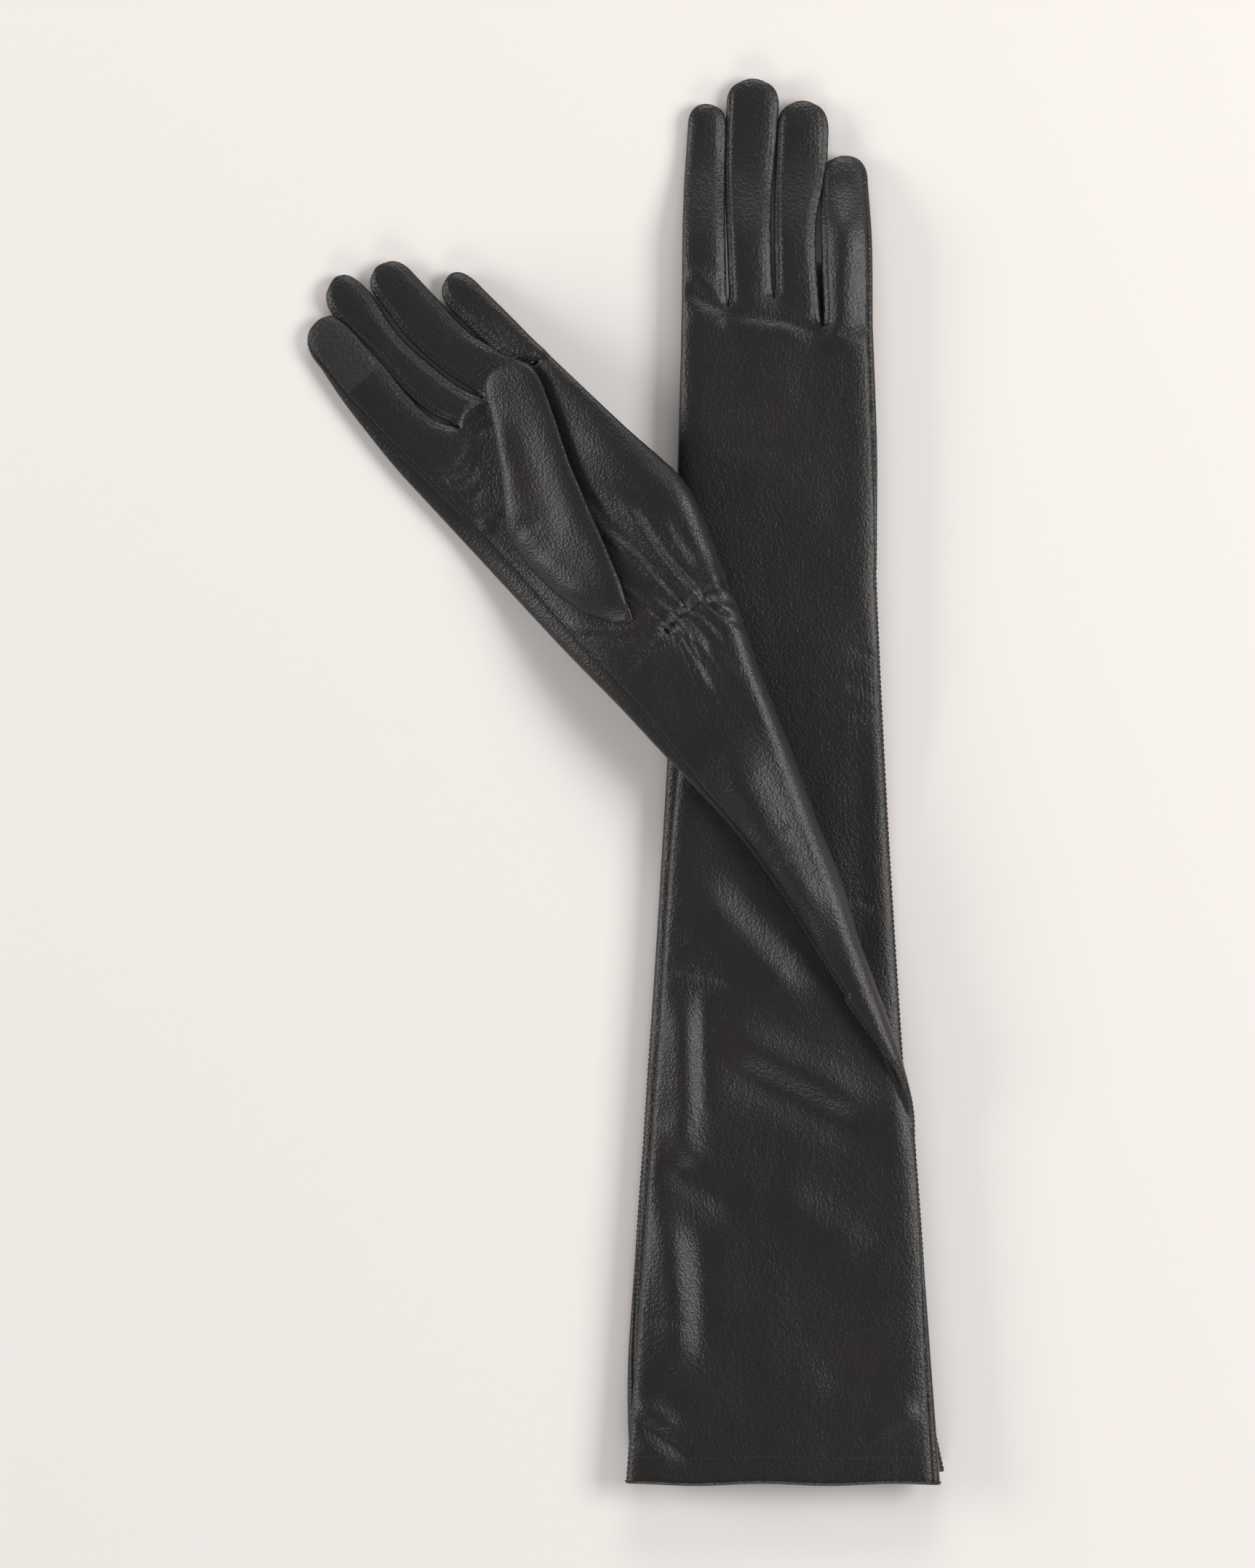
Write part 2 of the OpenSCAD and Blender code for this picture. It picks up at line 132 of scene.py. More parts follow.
FALL_FROM, FALL_LENGTH = 136.0, 46.0
MOUTH_PULL = 5.0
PULL_LENGTH = 60.0
FOLD_SLANT = math.radians(20.2)
FOLD_BELOW_WRIST = 88.0
FOLD_RADIUS = HALF + 0.5
FOLD_AT = (WRIST - FOLD_BELOW_WRIST) * math.sin(FOLD_SLANT)
HAND_TURN = math.radians(1.0)
TURN_FROM, TURN_LENGTH = -20.0, 50.0
HAND_SLIDE = 4.0
SLIDE_LENGTH = 130.0
DROP_START, DROP_END = 12.0, -76.0
HEM_WAVE, HEM_WAVE_LENGTH, HEM_WAVE_REACH = 0.45, 9.0, 40.0


def smooth(x):
    """An even rise from 0 at 0 to 1 at 1."""
    t = np.clip(x, 0, 1)
    return t * t * (3 - 2 * t)


def right_middle(v):
    """How high the middle of the right glove lies: the thumb under its palm raises the hand."""
    rise = smooth((v - WRIST - RISE_FROM) / RISE_LENGTH) - smooth((v - WRIST - FALL_FROM) / FALL_LENGTH)
    return HALF + (THUMB_GAP + THUMB_THICK) * rise


def hem_wave(u, v):
    """The edge of the mouth isn't quite straight."""
    return HEM_WAVE * np.cos(u / HEM_WAVE_LENGTH + 1) * smooth(1 - v / HEM_WAVE_REACH)


def lay_right(u, v, w):
    """Pattern points laid on the table for the straight glove, in metres."""
    v = v + hem_wave(-u, v)
    x = right_x - u + MOUTH_PULL * np.clip(1 - v / PULL_LENGTH, 0, None) ** 2
    return np.stack([x, right_y + v, np.maximum(right_middle(v) + w, 0)], -1) * MM


def lay_left(u, v, w):
    """The same for the folded glove: past the fold the leather rolls over and comes down beside the stack."""
    v = v + hem_wave(u, v)
    turn = HAND_TURN * smooth((v - WRIST - TURN_FROM) / TURN_LENGTH)
    far = np.clip(v - WRIST, 0, None)
    aside = u + HAND_SLIDE * smooth((v - WRIST + SLIDE_LENGTH) / SLIDE_LENGTH)
    p = aside * np.cos(turn) + far * np.sin(turn)
    q = np.minimum(v, WRIST) + far * np.cos(turn) - aside * np.sin(turn)
    cos_s, sin_s = math.cos(FOLD_SLANT), math.sin(FOLD_SLANT)
    across = p * cos_s + q * sin_s
    along = q * cos_s - p * sin_s
    past = across - FOLD_AT
    roll = math.pi * FOLD_RADIUS
    angle = np.clip(past / FOLD_RADIUS, 0, math.pi)
    turned = np.where(past <= 0, across, np.where(past >= roll, FOLD_AT - (past - roll),
                                                  FOLD_AT + (FOLD_RADIUS - w) * np.sin(angle)))
    high = FOLD_RADIUS - (FOLD_RADIUS - w) * np.cos(angle)
    x = left_x + turned * cos_s - along * sin_s
    y = left_y + turned * sin_s + along * cos_s
    stack = right_middle(y - right_y) + 2 * HALF + LAYER_GAP
    drop = np.where(past > roll / 2, 1 - smooth((x - DROP_END) / (DROP_START - DROP_END)), 0)
    return np.stack([x, y, np.maximum(high + stack - drop * (stack + 2 * FOLD_RADIUS - HALF), 0)], -1) * MM


LAY = {"right": lay_right, "left": lay_left}

# ---- Back and palm leathers
# Two cuts of thin black nappa make each glove, one for the back and one for the palm, both with their sleeve.
# They meet in a long seam on each side and run on into the four fingers, where the fourchettes part them.
# The leather is 0.7 mm thick, lies in a soft lens over the lining, and is creased where it folds and is worn.
LEATHER = 0.7
HEM_HALF, WRIST_HALF, KNUCKLE_HALF = 67.0, 42.75, 40.5
SLEEVE_CURVE = 1.2
PALM_LENGTH = 112.0
EDGE_WIDE = 11.0
EDGE_POWER = 2 / 2.4
EDGE_ARC = 1.12
SHARES = (0.272, 0.519, 0.757)
COLUMNS = 24
BODY_ROWS = 372
FINGER_ROWS = 78
SKIN_FROM = 0.3
FLAT_TO = 452.0
FORK_IN = 5.8
FORK_ROUND = 7.0
ROOT_EVENS_OUT = 1.6
CAP_SHARE, CAP_END = 0.24, 0.985
CAP_LONG, CAP_NARROW, CAP_THIN = 0.82, 0.8, 0.7
FINGER_THICK = 0.95
SEAM_SUNK, SEAM_WIDE = 0.4, 0.8

# Each hand's outline: the edges of the palm beyond the sleeve, as (v, u); the forks between the fingers from
# the little finger on, as (u, v); and each finger's (v, little-finger side, index side) with its tip (u, v).
OUTLINE = {
    "right": {
        "pinky_edge": [(385, -42.9), (437, -43.2), (474, -42.0), (489, -41.4)],
        "index_edge": [(385, 42.75), (428, 42.2), (455, 41.4), (480, 40.7), (498, 40.4)],
        "forks": [(-19.8, 488.9), (1.0, 501.0), (20.5, 497.7)],
        "fingers": [
            ([(489, -41.4, -19.8), (531, -40.8, -18.6), (551, -39.4, -18.6)], (-28.8, 563.0)),
            ([(495, -19.8, 1.0), (541, -18.6, 1.4), (555, -22.0, 1.0), (573, -23.2, 0.2)], (-11.4, 586.6)),
            ([(500, 1.0, 20.5), (545, 1.2, 22.2), (565, -0.6, 22.4), (584, -1.9, 21.7)], (9.9, 596.0)),
            ([(498, 20.5, 40.4), (545, 21.2, 39.6), (575, 20.6, 37.7)], (28.8, 585.2))],
    },
    "left": {
        "pinky_edge": [(385, -42.75), (410, -43.4), (430, -44.4), (461, -41.1), (505, -37.4)],
        "index_edge": [(215, 50.6), (240, 47.2), (270, 42.6), (301, 39.6), (323, 39.2), (345, 39.3),
                       (370, 39.6), (397, 41.1), (448, 42.5), (499, 43.7), (509, 44.0)],
        "forks": [(-29.5, 506.6), (-4.1, 511.0), (12.0, 508.5)],
        "fingers": [
            ([(506, -37.3, -29.5), (510, -37.1, -24.8), (517, -36.6, -21.6), (530, -36.0, -19.4),
              (547, -34.9, -18.0)], (-27.0, 560.8)),
            ([(509, -29.9, -4.1), (515, -29.0, -2.4), (522, -25.0, -0.2), (535, -19.4, 2.4),
              (553, -18.2, 4.0), (571, -17.6, 2.6)], (-7.0, 584.0)),
            ([(510, -4.1, 12.0), (522, 0.0, 17.6), (536, 2.6, 20.0), (553, 4.4, 20.6), (577, 1.8, 21.6)],
             (9.0, 592.4)),
            ([(509, 12.0, 44.0), (520, 17.4, 43.8), (532, 18.6, 43.2), (553, 17.2, 41.6), (567, 16.6, 39.6)],
             (26.8, 583.4))],
    },
}
# How far in from the outline each long seam runs: the index one on the palm side, the other on the back.
INDEX_SEAM = [(0, -6.9), (60, -5.2), (100, -2.6), (140, 0), (170, 1.6), (210, 3.6), (250, 4.6), (300, 5.6),
              (324, 5.9), (349, 8.4), (381, 9.4), (520, 9.0), (551, 6.4), (575, 4.0), (600, 3.0)]
PINKY_SEAM = [(0, 1.8), (370, 1.8), (400, 2.6), (430, 4.8), (520, 5.2), (600, 4.6)]


def curve(points, x):
    """A smooth line through a few points (x, value)."""
    at, value = np.array(points, float).T
    slope = np.gradient(value, at)
    i = np.clip(np.searchsorted(at, x) - 1, 0, len(at) - 2)
    h = at[i + 1] - at[i]
    t = np.clip((x - at[i]) / h, 0, 1)
    low = (2 * t ** 3 - 3 * t ** 2 + 1) * value[i] + (t ** 3 - 2 * t ** 2 + t) * h * slope[i]
    return low + (3 * t ** 2 - 2 * t ** 3) * value[i + 1] + (t ** 3 - t ** 2) * h * slope[i + 1]


def sleeve_half(v):
    """Half the flat width of the sleeve and the palm, both sides alike."""
    sleeve = WRIST_HALF + (HEM_HALF - WRIST_HALF) * np.clip(1 - v / WRIST, 0, None) ** SLEEVE_CURVE
    palm = WRIST_HALF + (KNUCKLE_HALF - WRIST_HALF) * np.clip((v - WRIST) / PALM_LENGTH, 0, 1)
    return np.where(v < WRIST, sleeve, palm)


def body_edges(hand, v):
    """Both outlines of one hand's flat glove, up to the forks."""
    lines = OUTLINE[hand]
    low, high = -sleeve_half(v), sleeve_half(v)
    low = np.where(v > lines["pinky_edge"][0][0], curve(lines["pinky_edge"], v), low)
    high = np.where(v > lines["index_edge"][0][0], curve(lines["index_edge"], v), high)
    return low, high


def section(low, high, thick, s):
    """Across one side of the glove: s runs over the leather from the little finger's outline."""
    wide = np.minimum(EDGE_WIDE, (high - low) / 2)
    arc = EDGE_ARC * wide
    whole = 2 * ((high - low) / 2 - wide + arc)
    near = np.minimum(s, whole - s)
    angle = np.clip(near / np.maximum(arc, 1e-6), -1, 1) * math.pi / 2
    inward = wide * (1 - np.cos(angle) ** EDGE_POWER) + np.clip(np.abs(near) - arc, 0, None)
    u = np.where(s <= whole / 2, low + inward, high - inward)
    return u, thick * np.sign(angle) * np.abs(np.sin(angle)) ** EDGE_POWER


def skin_length(low, high):
    """How much leather goes across one side of the glove."""
    wide = np.minimum(EDGE_WIDE, (high - low) / 2)
    return 2 * ((high - low) / 2 - wide + EDGE_ARC * wide)


def spread(count, even):
    """Places from 0 to 1 that lie closer together at both ends. A larger even makes them more alike."""
    steps = np.arange(count + 1) / count
    return even * steps + (1 - even) * (0.5 - 0.5 * np.cos(math.pi * steps))


ACROSS = spread(COLUMNS, 0.55)


def body_grid(hand, side):
    """The skin from the hem to the forks: u, v, w over rows and columns, and how far each is from a seam."""
    forks = OUTLINE[hand]["forks"]
    ends = [forks[0][1], *[fork[1] for fork in forks], forks[2][1]]
    top = np.interp(np.arange(4 * COLUMNS + 1), np.arange(5) * COLUMNS, ends)
    level = np.linspace(0, 1, BODY_ROWS + 1)[:, None]
    share = (FLAT_TO - SKIN_FROM) / (np.mean(top) - SKIN_FROM)
    v = np.where(level <= share, SKIN_FROM + (FLAT_TO - SKIN_FROM) * level / share,
                 FLAT_TO + (top - FLAT_TO) * (level - share) / (1 - share))
    low, high = body_edges(hand, v)
    whole = skin_length(low, high)
    wide = np.minimum(EDGE_WIDE, (high - low) / 2)
    pinky_in = side * curve(PINKY_SEAM, v)
    index_in = -side * curve(INDEX_SEAM, v)
    lines = [pinky_in]
    for share_k, (fork_u, fork_v) in zip(SHARES, forks):
        bent = smooth((v - WRIST) / (fork_v - WRIST))
        at = (1 - bent) * (low + share_k * (high - low)) + bent * fork_u
        lines.append(at - low - wide + EDGE_ARC * wide)
    lines.append(whole - index_in)
    s = np.zeros_like(v)
    for k in range(4):
        part = slice(k * COLUMNS, (k + 1) * COLUMNS + 1)
        s[:, part] = lines[k][:, part] + (lines[k + 1] - lines[k])[:, part] * ACROSS
    u, w = section(low, high, HALF, s)
    return u, v, side * w, np.minimum(s - pinky_in, whole - index_in - s)


def finger_edges(hand, k):
    """Down one finger, row by row: the middle v, both outlines, the thickness and the share of its width."""
    sides, (tip_u, tip_v) = OUTLINE[hand]["fingers"][k]
    level = np.linspace(0, 1, FINGER_ROWS + 1)
    start, straight = sides[0][0], sides[-1][0]
    cap = np.clip((level - 1 + CAP_SHARE) / CAP_SHARE, 0, 1) * math.pi / 2 * CAP_END
    v = np.where(level <= 1 - CAP_SHARE, start + (straight - start) * level / (1 - CAP_SHARE),
                 straight + (tip_v - straight) * np.sin(cap) ** CAP_LONG)
    low = curve([(p[0], p[1]) for p in sides], np.minimum(v, straight))
    high = curve([(p[0], p[2]) for p in sides], np.minimum(v, straight))
    narrow = np.cos(cap) ** CAP_NARROW
    middle = (low + high) / 2 + (tip_u - (low + high) / 2) * (1 - narrow)
    half = (high - low) / 2 * narrow
    thick = HALF * FINGER_THICK * np.cos(cap) ** CAP_THIN
    return v, middle - half, middle + half, thick, narrow


def from_root(v_mid, root):
    """The rows of a finger, which start along the forks and come level with its middle further up."""
    level = np.linspace(0, 1, FINGER_ROWS + 1)[:, None]
    return v_mid + (root - v_mid[0]) * np.clip(1 - level * ROOT_EVENS_OUT, 0, 1)


def finger_grid(hand, side, k):
    """The skin of one side of a finger, like body_grid's, and where its columns leave the body."""
    forks = OUTLINE[hand]["forks"]
    v_mid, low, high, thick, narrow = (x[:, None] for x in finger_edges(hand, k))
    root = np.interp(ACROSS, [0, 1], [forks[max(k - 1, 0)][1], forks[min(k, 2)][1]])
    v = from_root(v_mid, root)
    whole = skin_length(low, high)
    start = side * curve(PINKY_SEAM, v_mid) * narrow if k == 0 else FORK_IN * narrow
    stop = -side * curve(INDEX_SEAM, v_mid) * narrow if k == 3 else FORK_IN * narrow
    s = start + (whole - stop - start) * ACROSS
    u, w = section(low, high, thick, s)
    return u, v, side * w, np.minimum(s - start, whole - stop - s), root


def parting(v, root):
    """How far the fingers have parted, from 0 at the root, as a round U."""
    t = np.clip((v - root) / FORK_ROUND, 0, 1)
    return np.sqrt(1 - (1 - t) ** 2)


def ridge(u, v, line, wide, high):
    """A soft ridge, or a valley where high is below 0, along pattern points. It fades at both ends."""
    line = np.array(line, float)
    best = np.full(u.shape, 1e9)
    at = np.zeros(u.shape)
    lengths = np.linalg.norm(np.diff(line, axis=0), axis=1)
    before = np.concatenate([[0], np.cumsum(lengths)])
    for a, b, length, start in zip(line[:-1], line[1:], lengths, before):
        t = np.clip(((u - a[0]) * (b[0] - a[0]) + (v - a[1]) * (b[1] - a[1])) / length ** 2, 0, 1)
        d = np.hypot(u - a[0] - t * (b[0] - a[0]), v - a[1] - t * (b[1] - a[1]))
        near = d < best
        best = np.where(near, d, best)
        at = np.where(near, (start + t * length) / before[-1], at)
    return high * np.exp(-(best / wide) ** 2) * smooth(at / 0.3) * smooth((1 - at) / 0.3)


LATTICE = 256


def waviness(u, v, size_u, size_v, seed):
    """Smooth random unevenness from -1 to 1 with lumps of the given sizes in millimetres."""
    lattice = np.random.default_rng(seed).uniform(-1, 1, (LATTICE + 1, LATTICE + 1))
    x, y = u / size_u + 64.3, v / size_v + 11.7
    i, j = np.floor(x).astype(int), np.floor(y).astype(int)
    a, b = smooth(x - i), smooth(y - j)
    i, j = i % LATTICE, j % LATTICE
    return ((lattice[i, j] * (1 - a) + lattice[i + 1, j] * a) * (1 - b)
            + (lattice[i, j + 1] * (1 - a) + lattice[i + 1, j + 1] * a) * b)


# The folds that lying, wearing and packing have left, as (line of pattern points, width, height), for each
# hand and side: 1 is the back and -1 the palm.
FOLDS = {
    ("left", 1): [
        ([(-44, 216), (-43, 200), (-42, 172), (-42, 130)], 6.5, 2.5),
        ([(-34, 222), (-34, 185), (-34, 150)], 3.5, -0.8),
        ([(-58, 224), (-44, 219), (-30, 216), (-16, 210)], 1.3, -0.7),
        ([(-55, 217), (-38, 213), (-24, 211)], 2.4, 0.2),
        ([(-50, 233), (-36, 232)], 1.4, -0.5),
        ([(-42, 262), (-26, 242), (-8, 222), (12, 202)], 7.5, 1.9),
        ([(-30, 268), (-12, 246), (6, 226), (24, 206)], 8.0, -1.3),
        ([(-34, 196), (-8, 184), (16, 172), (44, 156)], 9.0, 2.4),
        ([(-30, 180), (-6, 168), (18, 156), (44, 142)], 8.0, -1.7),
        ([(-52, 158), (-44, 148), (-36, 134)], 5.0, 0.8),
        ([(-54, 137), (-36, 126), (-14, 114)], 6.5, -1.6),
        ([(-8, 128), (14, 112), (38, 94)], 9.0, 1.4),
        ([(-53, 124), (-48, 98), (-45, 70), (-47, 36)], 8.0, 2.9),
        ([(-36, 116), (-35, 84), (-36, 48)], 5.5, -0.9),
        ([(-62, 71), (-52, 70), (-40, 68)], 1.4, -0.45),
        ([(-64, 34), (-54, 29), (-44, 22)], 4.0, 1.2),
        ([(-66, 27), (-56, 22), (-44, 13), (-36, 8)], 2.0, -0.9),
        ([(-64, 17), (-54, 12), (-46, 6)], 3.5, 0.7),
        ([(34, 20), (46, 26), (60, 33)], 5.5, 1.3),
        ([(14, 46), (30, 40), (48, 36)], 7.0, -0.7),
        ([(-20, 60), (0, 50), (20, 44)], 10.0, 0.5),
        ([(44, 168), (48, 150), (52, 132)], 6.0, 0.7),
    ],
    ("left", -1): [
        ([(38, 506), (30, 497), (23, 495.5), (16, 498), (11, 505)], 2.6, 0.8),
        ([(34, 498), (26, 490), (16, 491)], 2.4, -0.8),
        ([(12, 509), (4, 511), (-4, 511)], 1.3, 0.9),
        ([(11, 504), (2, 500), (-6, 498)], 2.2, -0.7),
        ([(33, 487), (27, 482), (20, 483)], 1.5, -0.6),
        ([(31, 480), (26, 474), (23, 468)], 1.5, 0.6),
        ([(30, 474), (32, 466)], 3.0, 0.6),
        ([(-20.5, 446), (-16, 420), (-14, 395), (-14, 378)], 2.2, 1.2),
        ([(-25, 440), (-21, 418), (-19, 395), (-19, 380)], 2.2, -0.9),
        ([(-4, 436), (-8, 415), (-7, 400), (-8, 382)], 1.8, 0.9),
        ([(-10, 456), (-10, 434), (-11, 404)], 3.2, -1.1),
        ([(-24, 480), (-31, 450), (-37, 426), (-35, 408)], 7.0, 1.0),
        ([(-30, 424), (-27, 404), (-24, 388)], 2.0, -0.7),
        ([(3, 383), (14, 383), (30, 384)], 1.6, -0.6),
        ([(1, 384), (4, 364), (8, 350)], 2.0, 0.7),
        ([(36, 417), (22, 401), (7, 389)], 2.0, 0.5),
        ([(33, 409), (20, 395), (6, 386)], 1.6, -0.5),
        ([(10, 342), (23, 312), (30, 288), (36, 264), (44, 232)], 13.0, 5.4),
        ([(31, 326), (34, 308), (36, 290)], 4.0, -1.0),
        ([(33, 295), (20, 287)], 1.1, -0.6),
        ([(36, 286), (26, 279)], 1.1, -0.6),
        ([(39, 279), (29, 272)], 1.1, -0.5),
        ([(24, 452), (26, 432), (28, 404), (24, 382)], 5.0, 0.6),
        ([(18, 566), (17, 549), (17.5, 527)], 2.5, -0.3),
        ([(-22, 548), (-25, 523), (-28, 510)], 2.5, 0.5),
    ],
    ("right", 1): [
        ([(42, 506), (36, 504), (28, 499), (20, 496)], 2.6, -1.3),
        ([(42, 514), (34, 512), (26, 505), (21, 499)], 3.0, 0.9),
        ([(40, 495), (30, 492), (20, 491)], 4.0, 0.7),
        ([(22, 494), (10, 493.5), (-2, 492), (-14, 488), (-20, 484)], 1.4, -0.9),
        ([(20, 489), (8, 488.5), (-4, 487), (-16, 482)], 3.0, 0.8),
        ([(14, 500), (6, 499), (-2, 497)], 3.0, 0.5),
        ([(-24, 487), (-31, 486), (-41, 490)], 1.3, -0.8),
        ([(-26, 481), (-34, 482), (-43, 485)], 3.0, 0.6),
        ([(-25, 474), (-27, 494), (-28.5, 520), (-29.5, 552)], 8.0, 2.8),
        ([(30, 438), (10, 437), (-12, 438)], 3.0, -0.35),
        ([(16, 470), (2, 464), (-12, 462)], 7.0, 0.5),
        ([(-30, 352), (-38, 350), (-46, 346)], 1.6, -0.5),
        ([(-28, 338), (-38, 334), (-47, 330)], 1.6, -0.45),
        ([(-26, 318), (-36, 320), (-47, 322)], 2.0, 0.4),
        ([(-24, 246), (-36, 244), (-48, 238)], 1.8, -0.4),
        ([(-44, 380), (-45, 320), (-46, 260), (-49, 200)], 5.0, 0.5),
        ([(-36, 380), (-36, 320), (-37, 260), (-40, 200)], 7.0, -0.5),
    ],
    ("right", -1): [
        ([(30, 440), (10, 438), (-12, 440)], 3.0, -0.5),
        ([(-14, 470), (-12, 430), (-14, 390)], 4.0, 0.6),
    ],
}


def gathers(u, v):
    """The small fan of gathers that the elastic pulls up on the palm side of the wrist."""
    away = v - WRIST
    fan = -12 + (u + 12) / (1 + np.abs(away) / 46)
    reach = np.exp(-np.abs(away / 17) ** 1.15) * smooth((u + 37) / 10) * smooth((14 - u) / 10)
    pleats = np.abs(waviness(fan, away, 2.6, 16.0, 21)) * 1.5 + waviness(fan, away, 1.7, 9.0, 22) * 0.5
    line = -1.5 * np.exp(-(away / 2.2) ** 2) * smooth((u + 32) / 6) * smooth((8 - u) / 6)
    return reach * (pleats * 1.7 - 0.7) + line


def unevenness(hand, side, u, v):
    """How much the leather stands above or below its smooth lens, in millimetres."""
    seed = {"right": 3, "left": 8}[hand] + side
    lumps = 0.34 * waviness(u, v, 26, 34, seed) + 0.16 * waviness(u, v, 11, 15, seed + 40)
    fine = 0.035 * waviness(u, v, 3.2, 4.5, seed + 60)
    total = lumps + fine + sum(ridge(u, v, *fold) for fold in FOLDS[hand, side])
    for fork_u, fork_v in OUTLINE[hand]["forks"]:
        total = total - 0.9 * np.exp(-np.hypot(u - fork_u, (v - fork_v) * 0.8) ** 2 / 22)
    return total + (gathers(u, v) if side < 0 else 0)


def crumple(hand, side, u, v):
    """Where the leather is creased, from 0 to 1, for its finish."""
    marks = sum(np.abs(ridge(u, v, line, wide + 3.5, 1.0)) * (0.9 if wide < 3 else 0.25)
                for line, wide, high in FOLDS[hand, side])
    if side < 0:
        at_elastic = smooth((u + 44) / 12) * smooth((20 - u) / 14)
        marks = marks + 0.35 * np.exp(-((v - WRIST) / 22) ** 2) * at_elastic
    return np.clip(marks, 0, 1)


def vertex_normals(points, quads):
    """Which way the skin faces at each point."""
    a, b, c, d = (points[quads[:, i]] for i in range(4))
    flat = np.cross(c - a, d - b)
    total = np.zeros_like(points)
    for i in range(4):
        np.add.at(total, quads[:, i], flat)
    return total / np.maximum(np.linalg.norm(total, axis=1, keepdims=True), 1e-12)


def shell(points, quads, thick):
    """Outer points and quads made into one closed thin sheet that goes in by its thickness."""
    n = len(points)
    inner = points - vertex_normals(points, quads) * thick
    edges = np.concatenate([quads[:, [i, (i + 1) % 4]] for i in range(4)])
    key = np.sort(edges, axis=1)
    code = key[:, 0].astype(np.int64) * n + key[:, 1]
    _, index, count = np.unique(code, return_index=True, return_counts=True)
    rim = edges[index[count == 1]]
    walls = np.stack([rim[:, 1], rim[:, 0], rim[:, 0] + n, rim[:, 1] + n], 1)
    return np.concatenate([points, inner]), np.concatenate([quads, quads[:, ::-1] + n, walls])


SHARP_EDGE = math.radians(60)


def piece(name, points, faces, material, pattern=None, marks=None):
    """An object from points in metres and quads. The pattern is its UV map, the marks its creased places."""
    mesh = bpy.data.meshes.new(name)
    mesh.vertices.add(len(points))
    mesh.vertices.foreach_set("co", np.asarray(points, np.float32).ravel())
    mesh.loops.add(faces.size)
    mesh.loops.foreach_set("vertex_index", faces.astype(np.int32).ravel())
    mesh.polygons.add(len(faces))
    mesh.polygons.foreach_set("loop_start", np.arange(len(faces), dtype=np.int32) * faces.shape[1])
    if pattern is not None:
        layer = mesh.uv_layers.new(name="pattern")
        layer.data.foreach_set("uv", (pattern[faces.ravel()] * 0.01).astype(np.float32).ravel())
    if marks is not None:
        mesh.attributes.new("crumple", "FLOAT", "POINT").data.foreach_set("value", marks.astype(np.float32))
    mesh.update(calc_edges=True)
    mesh.validate()
    mesh.shade_smooth()
    mesh.set_sharp_from_angle(angle=SHARP_EDGE)
    mesh.materials.append(material)
    made = bpy.data.objects.new(name, mesh)
    bpy.context.scene.collection.objects.link(made)
    return made


def thin_sheet(name, skin, quads, thick, material, pattern):
    """A piece from the outside of its skin in metres, with its thickness going in."""
    points, faces = shell(skin.reshape(-1, 3), quads, thick * MM)
    return piece(name, points, faces, material, np.tile(pattern.reshape(-1, 2), (2, 1)))


def finish_nodes(name):
    """A new finish: its material, its nodes and its main shader."""
    material = bpy.data.materials.new(name)
    material.use_nodes = True
    return material, material.node_tree, material.node_tree.nodes["Principled BSDF"]


def add(tree, kind, **values):
    """A shader node, with its inputs given by name (From_Min is "From Min") and its settings by theirs."""
    node = tree.nodes.new(kind)
    for key, value in values.items():
        label = key.replace("_", " ")
        if label not in node.inputs:
            setattr(node, key, value)
        elif isinstance(value, bpy.types.NodeSocket):
            tree.links.new(value, node.inputs[label])
        else:
            node.inputs[label].default_value = value
    return node


def bump(tree, height, strength, distance, **under):
    """The surface raised by a height, over what the bump under it has done as Normal."""
    return add(tree, "ShaderNodeBump", Height=height, Strength=strength, Distance=distance,
               **under).outputs["Normal"]


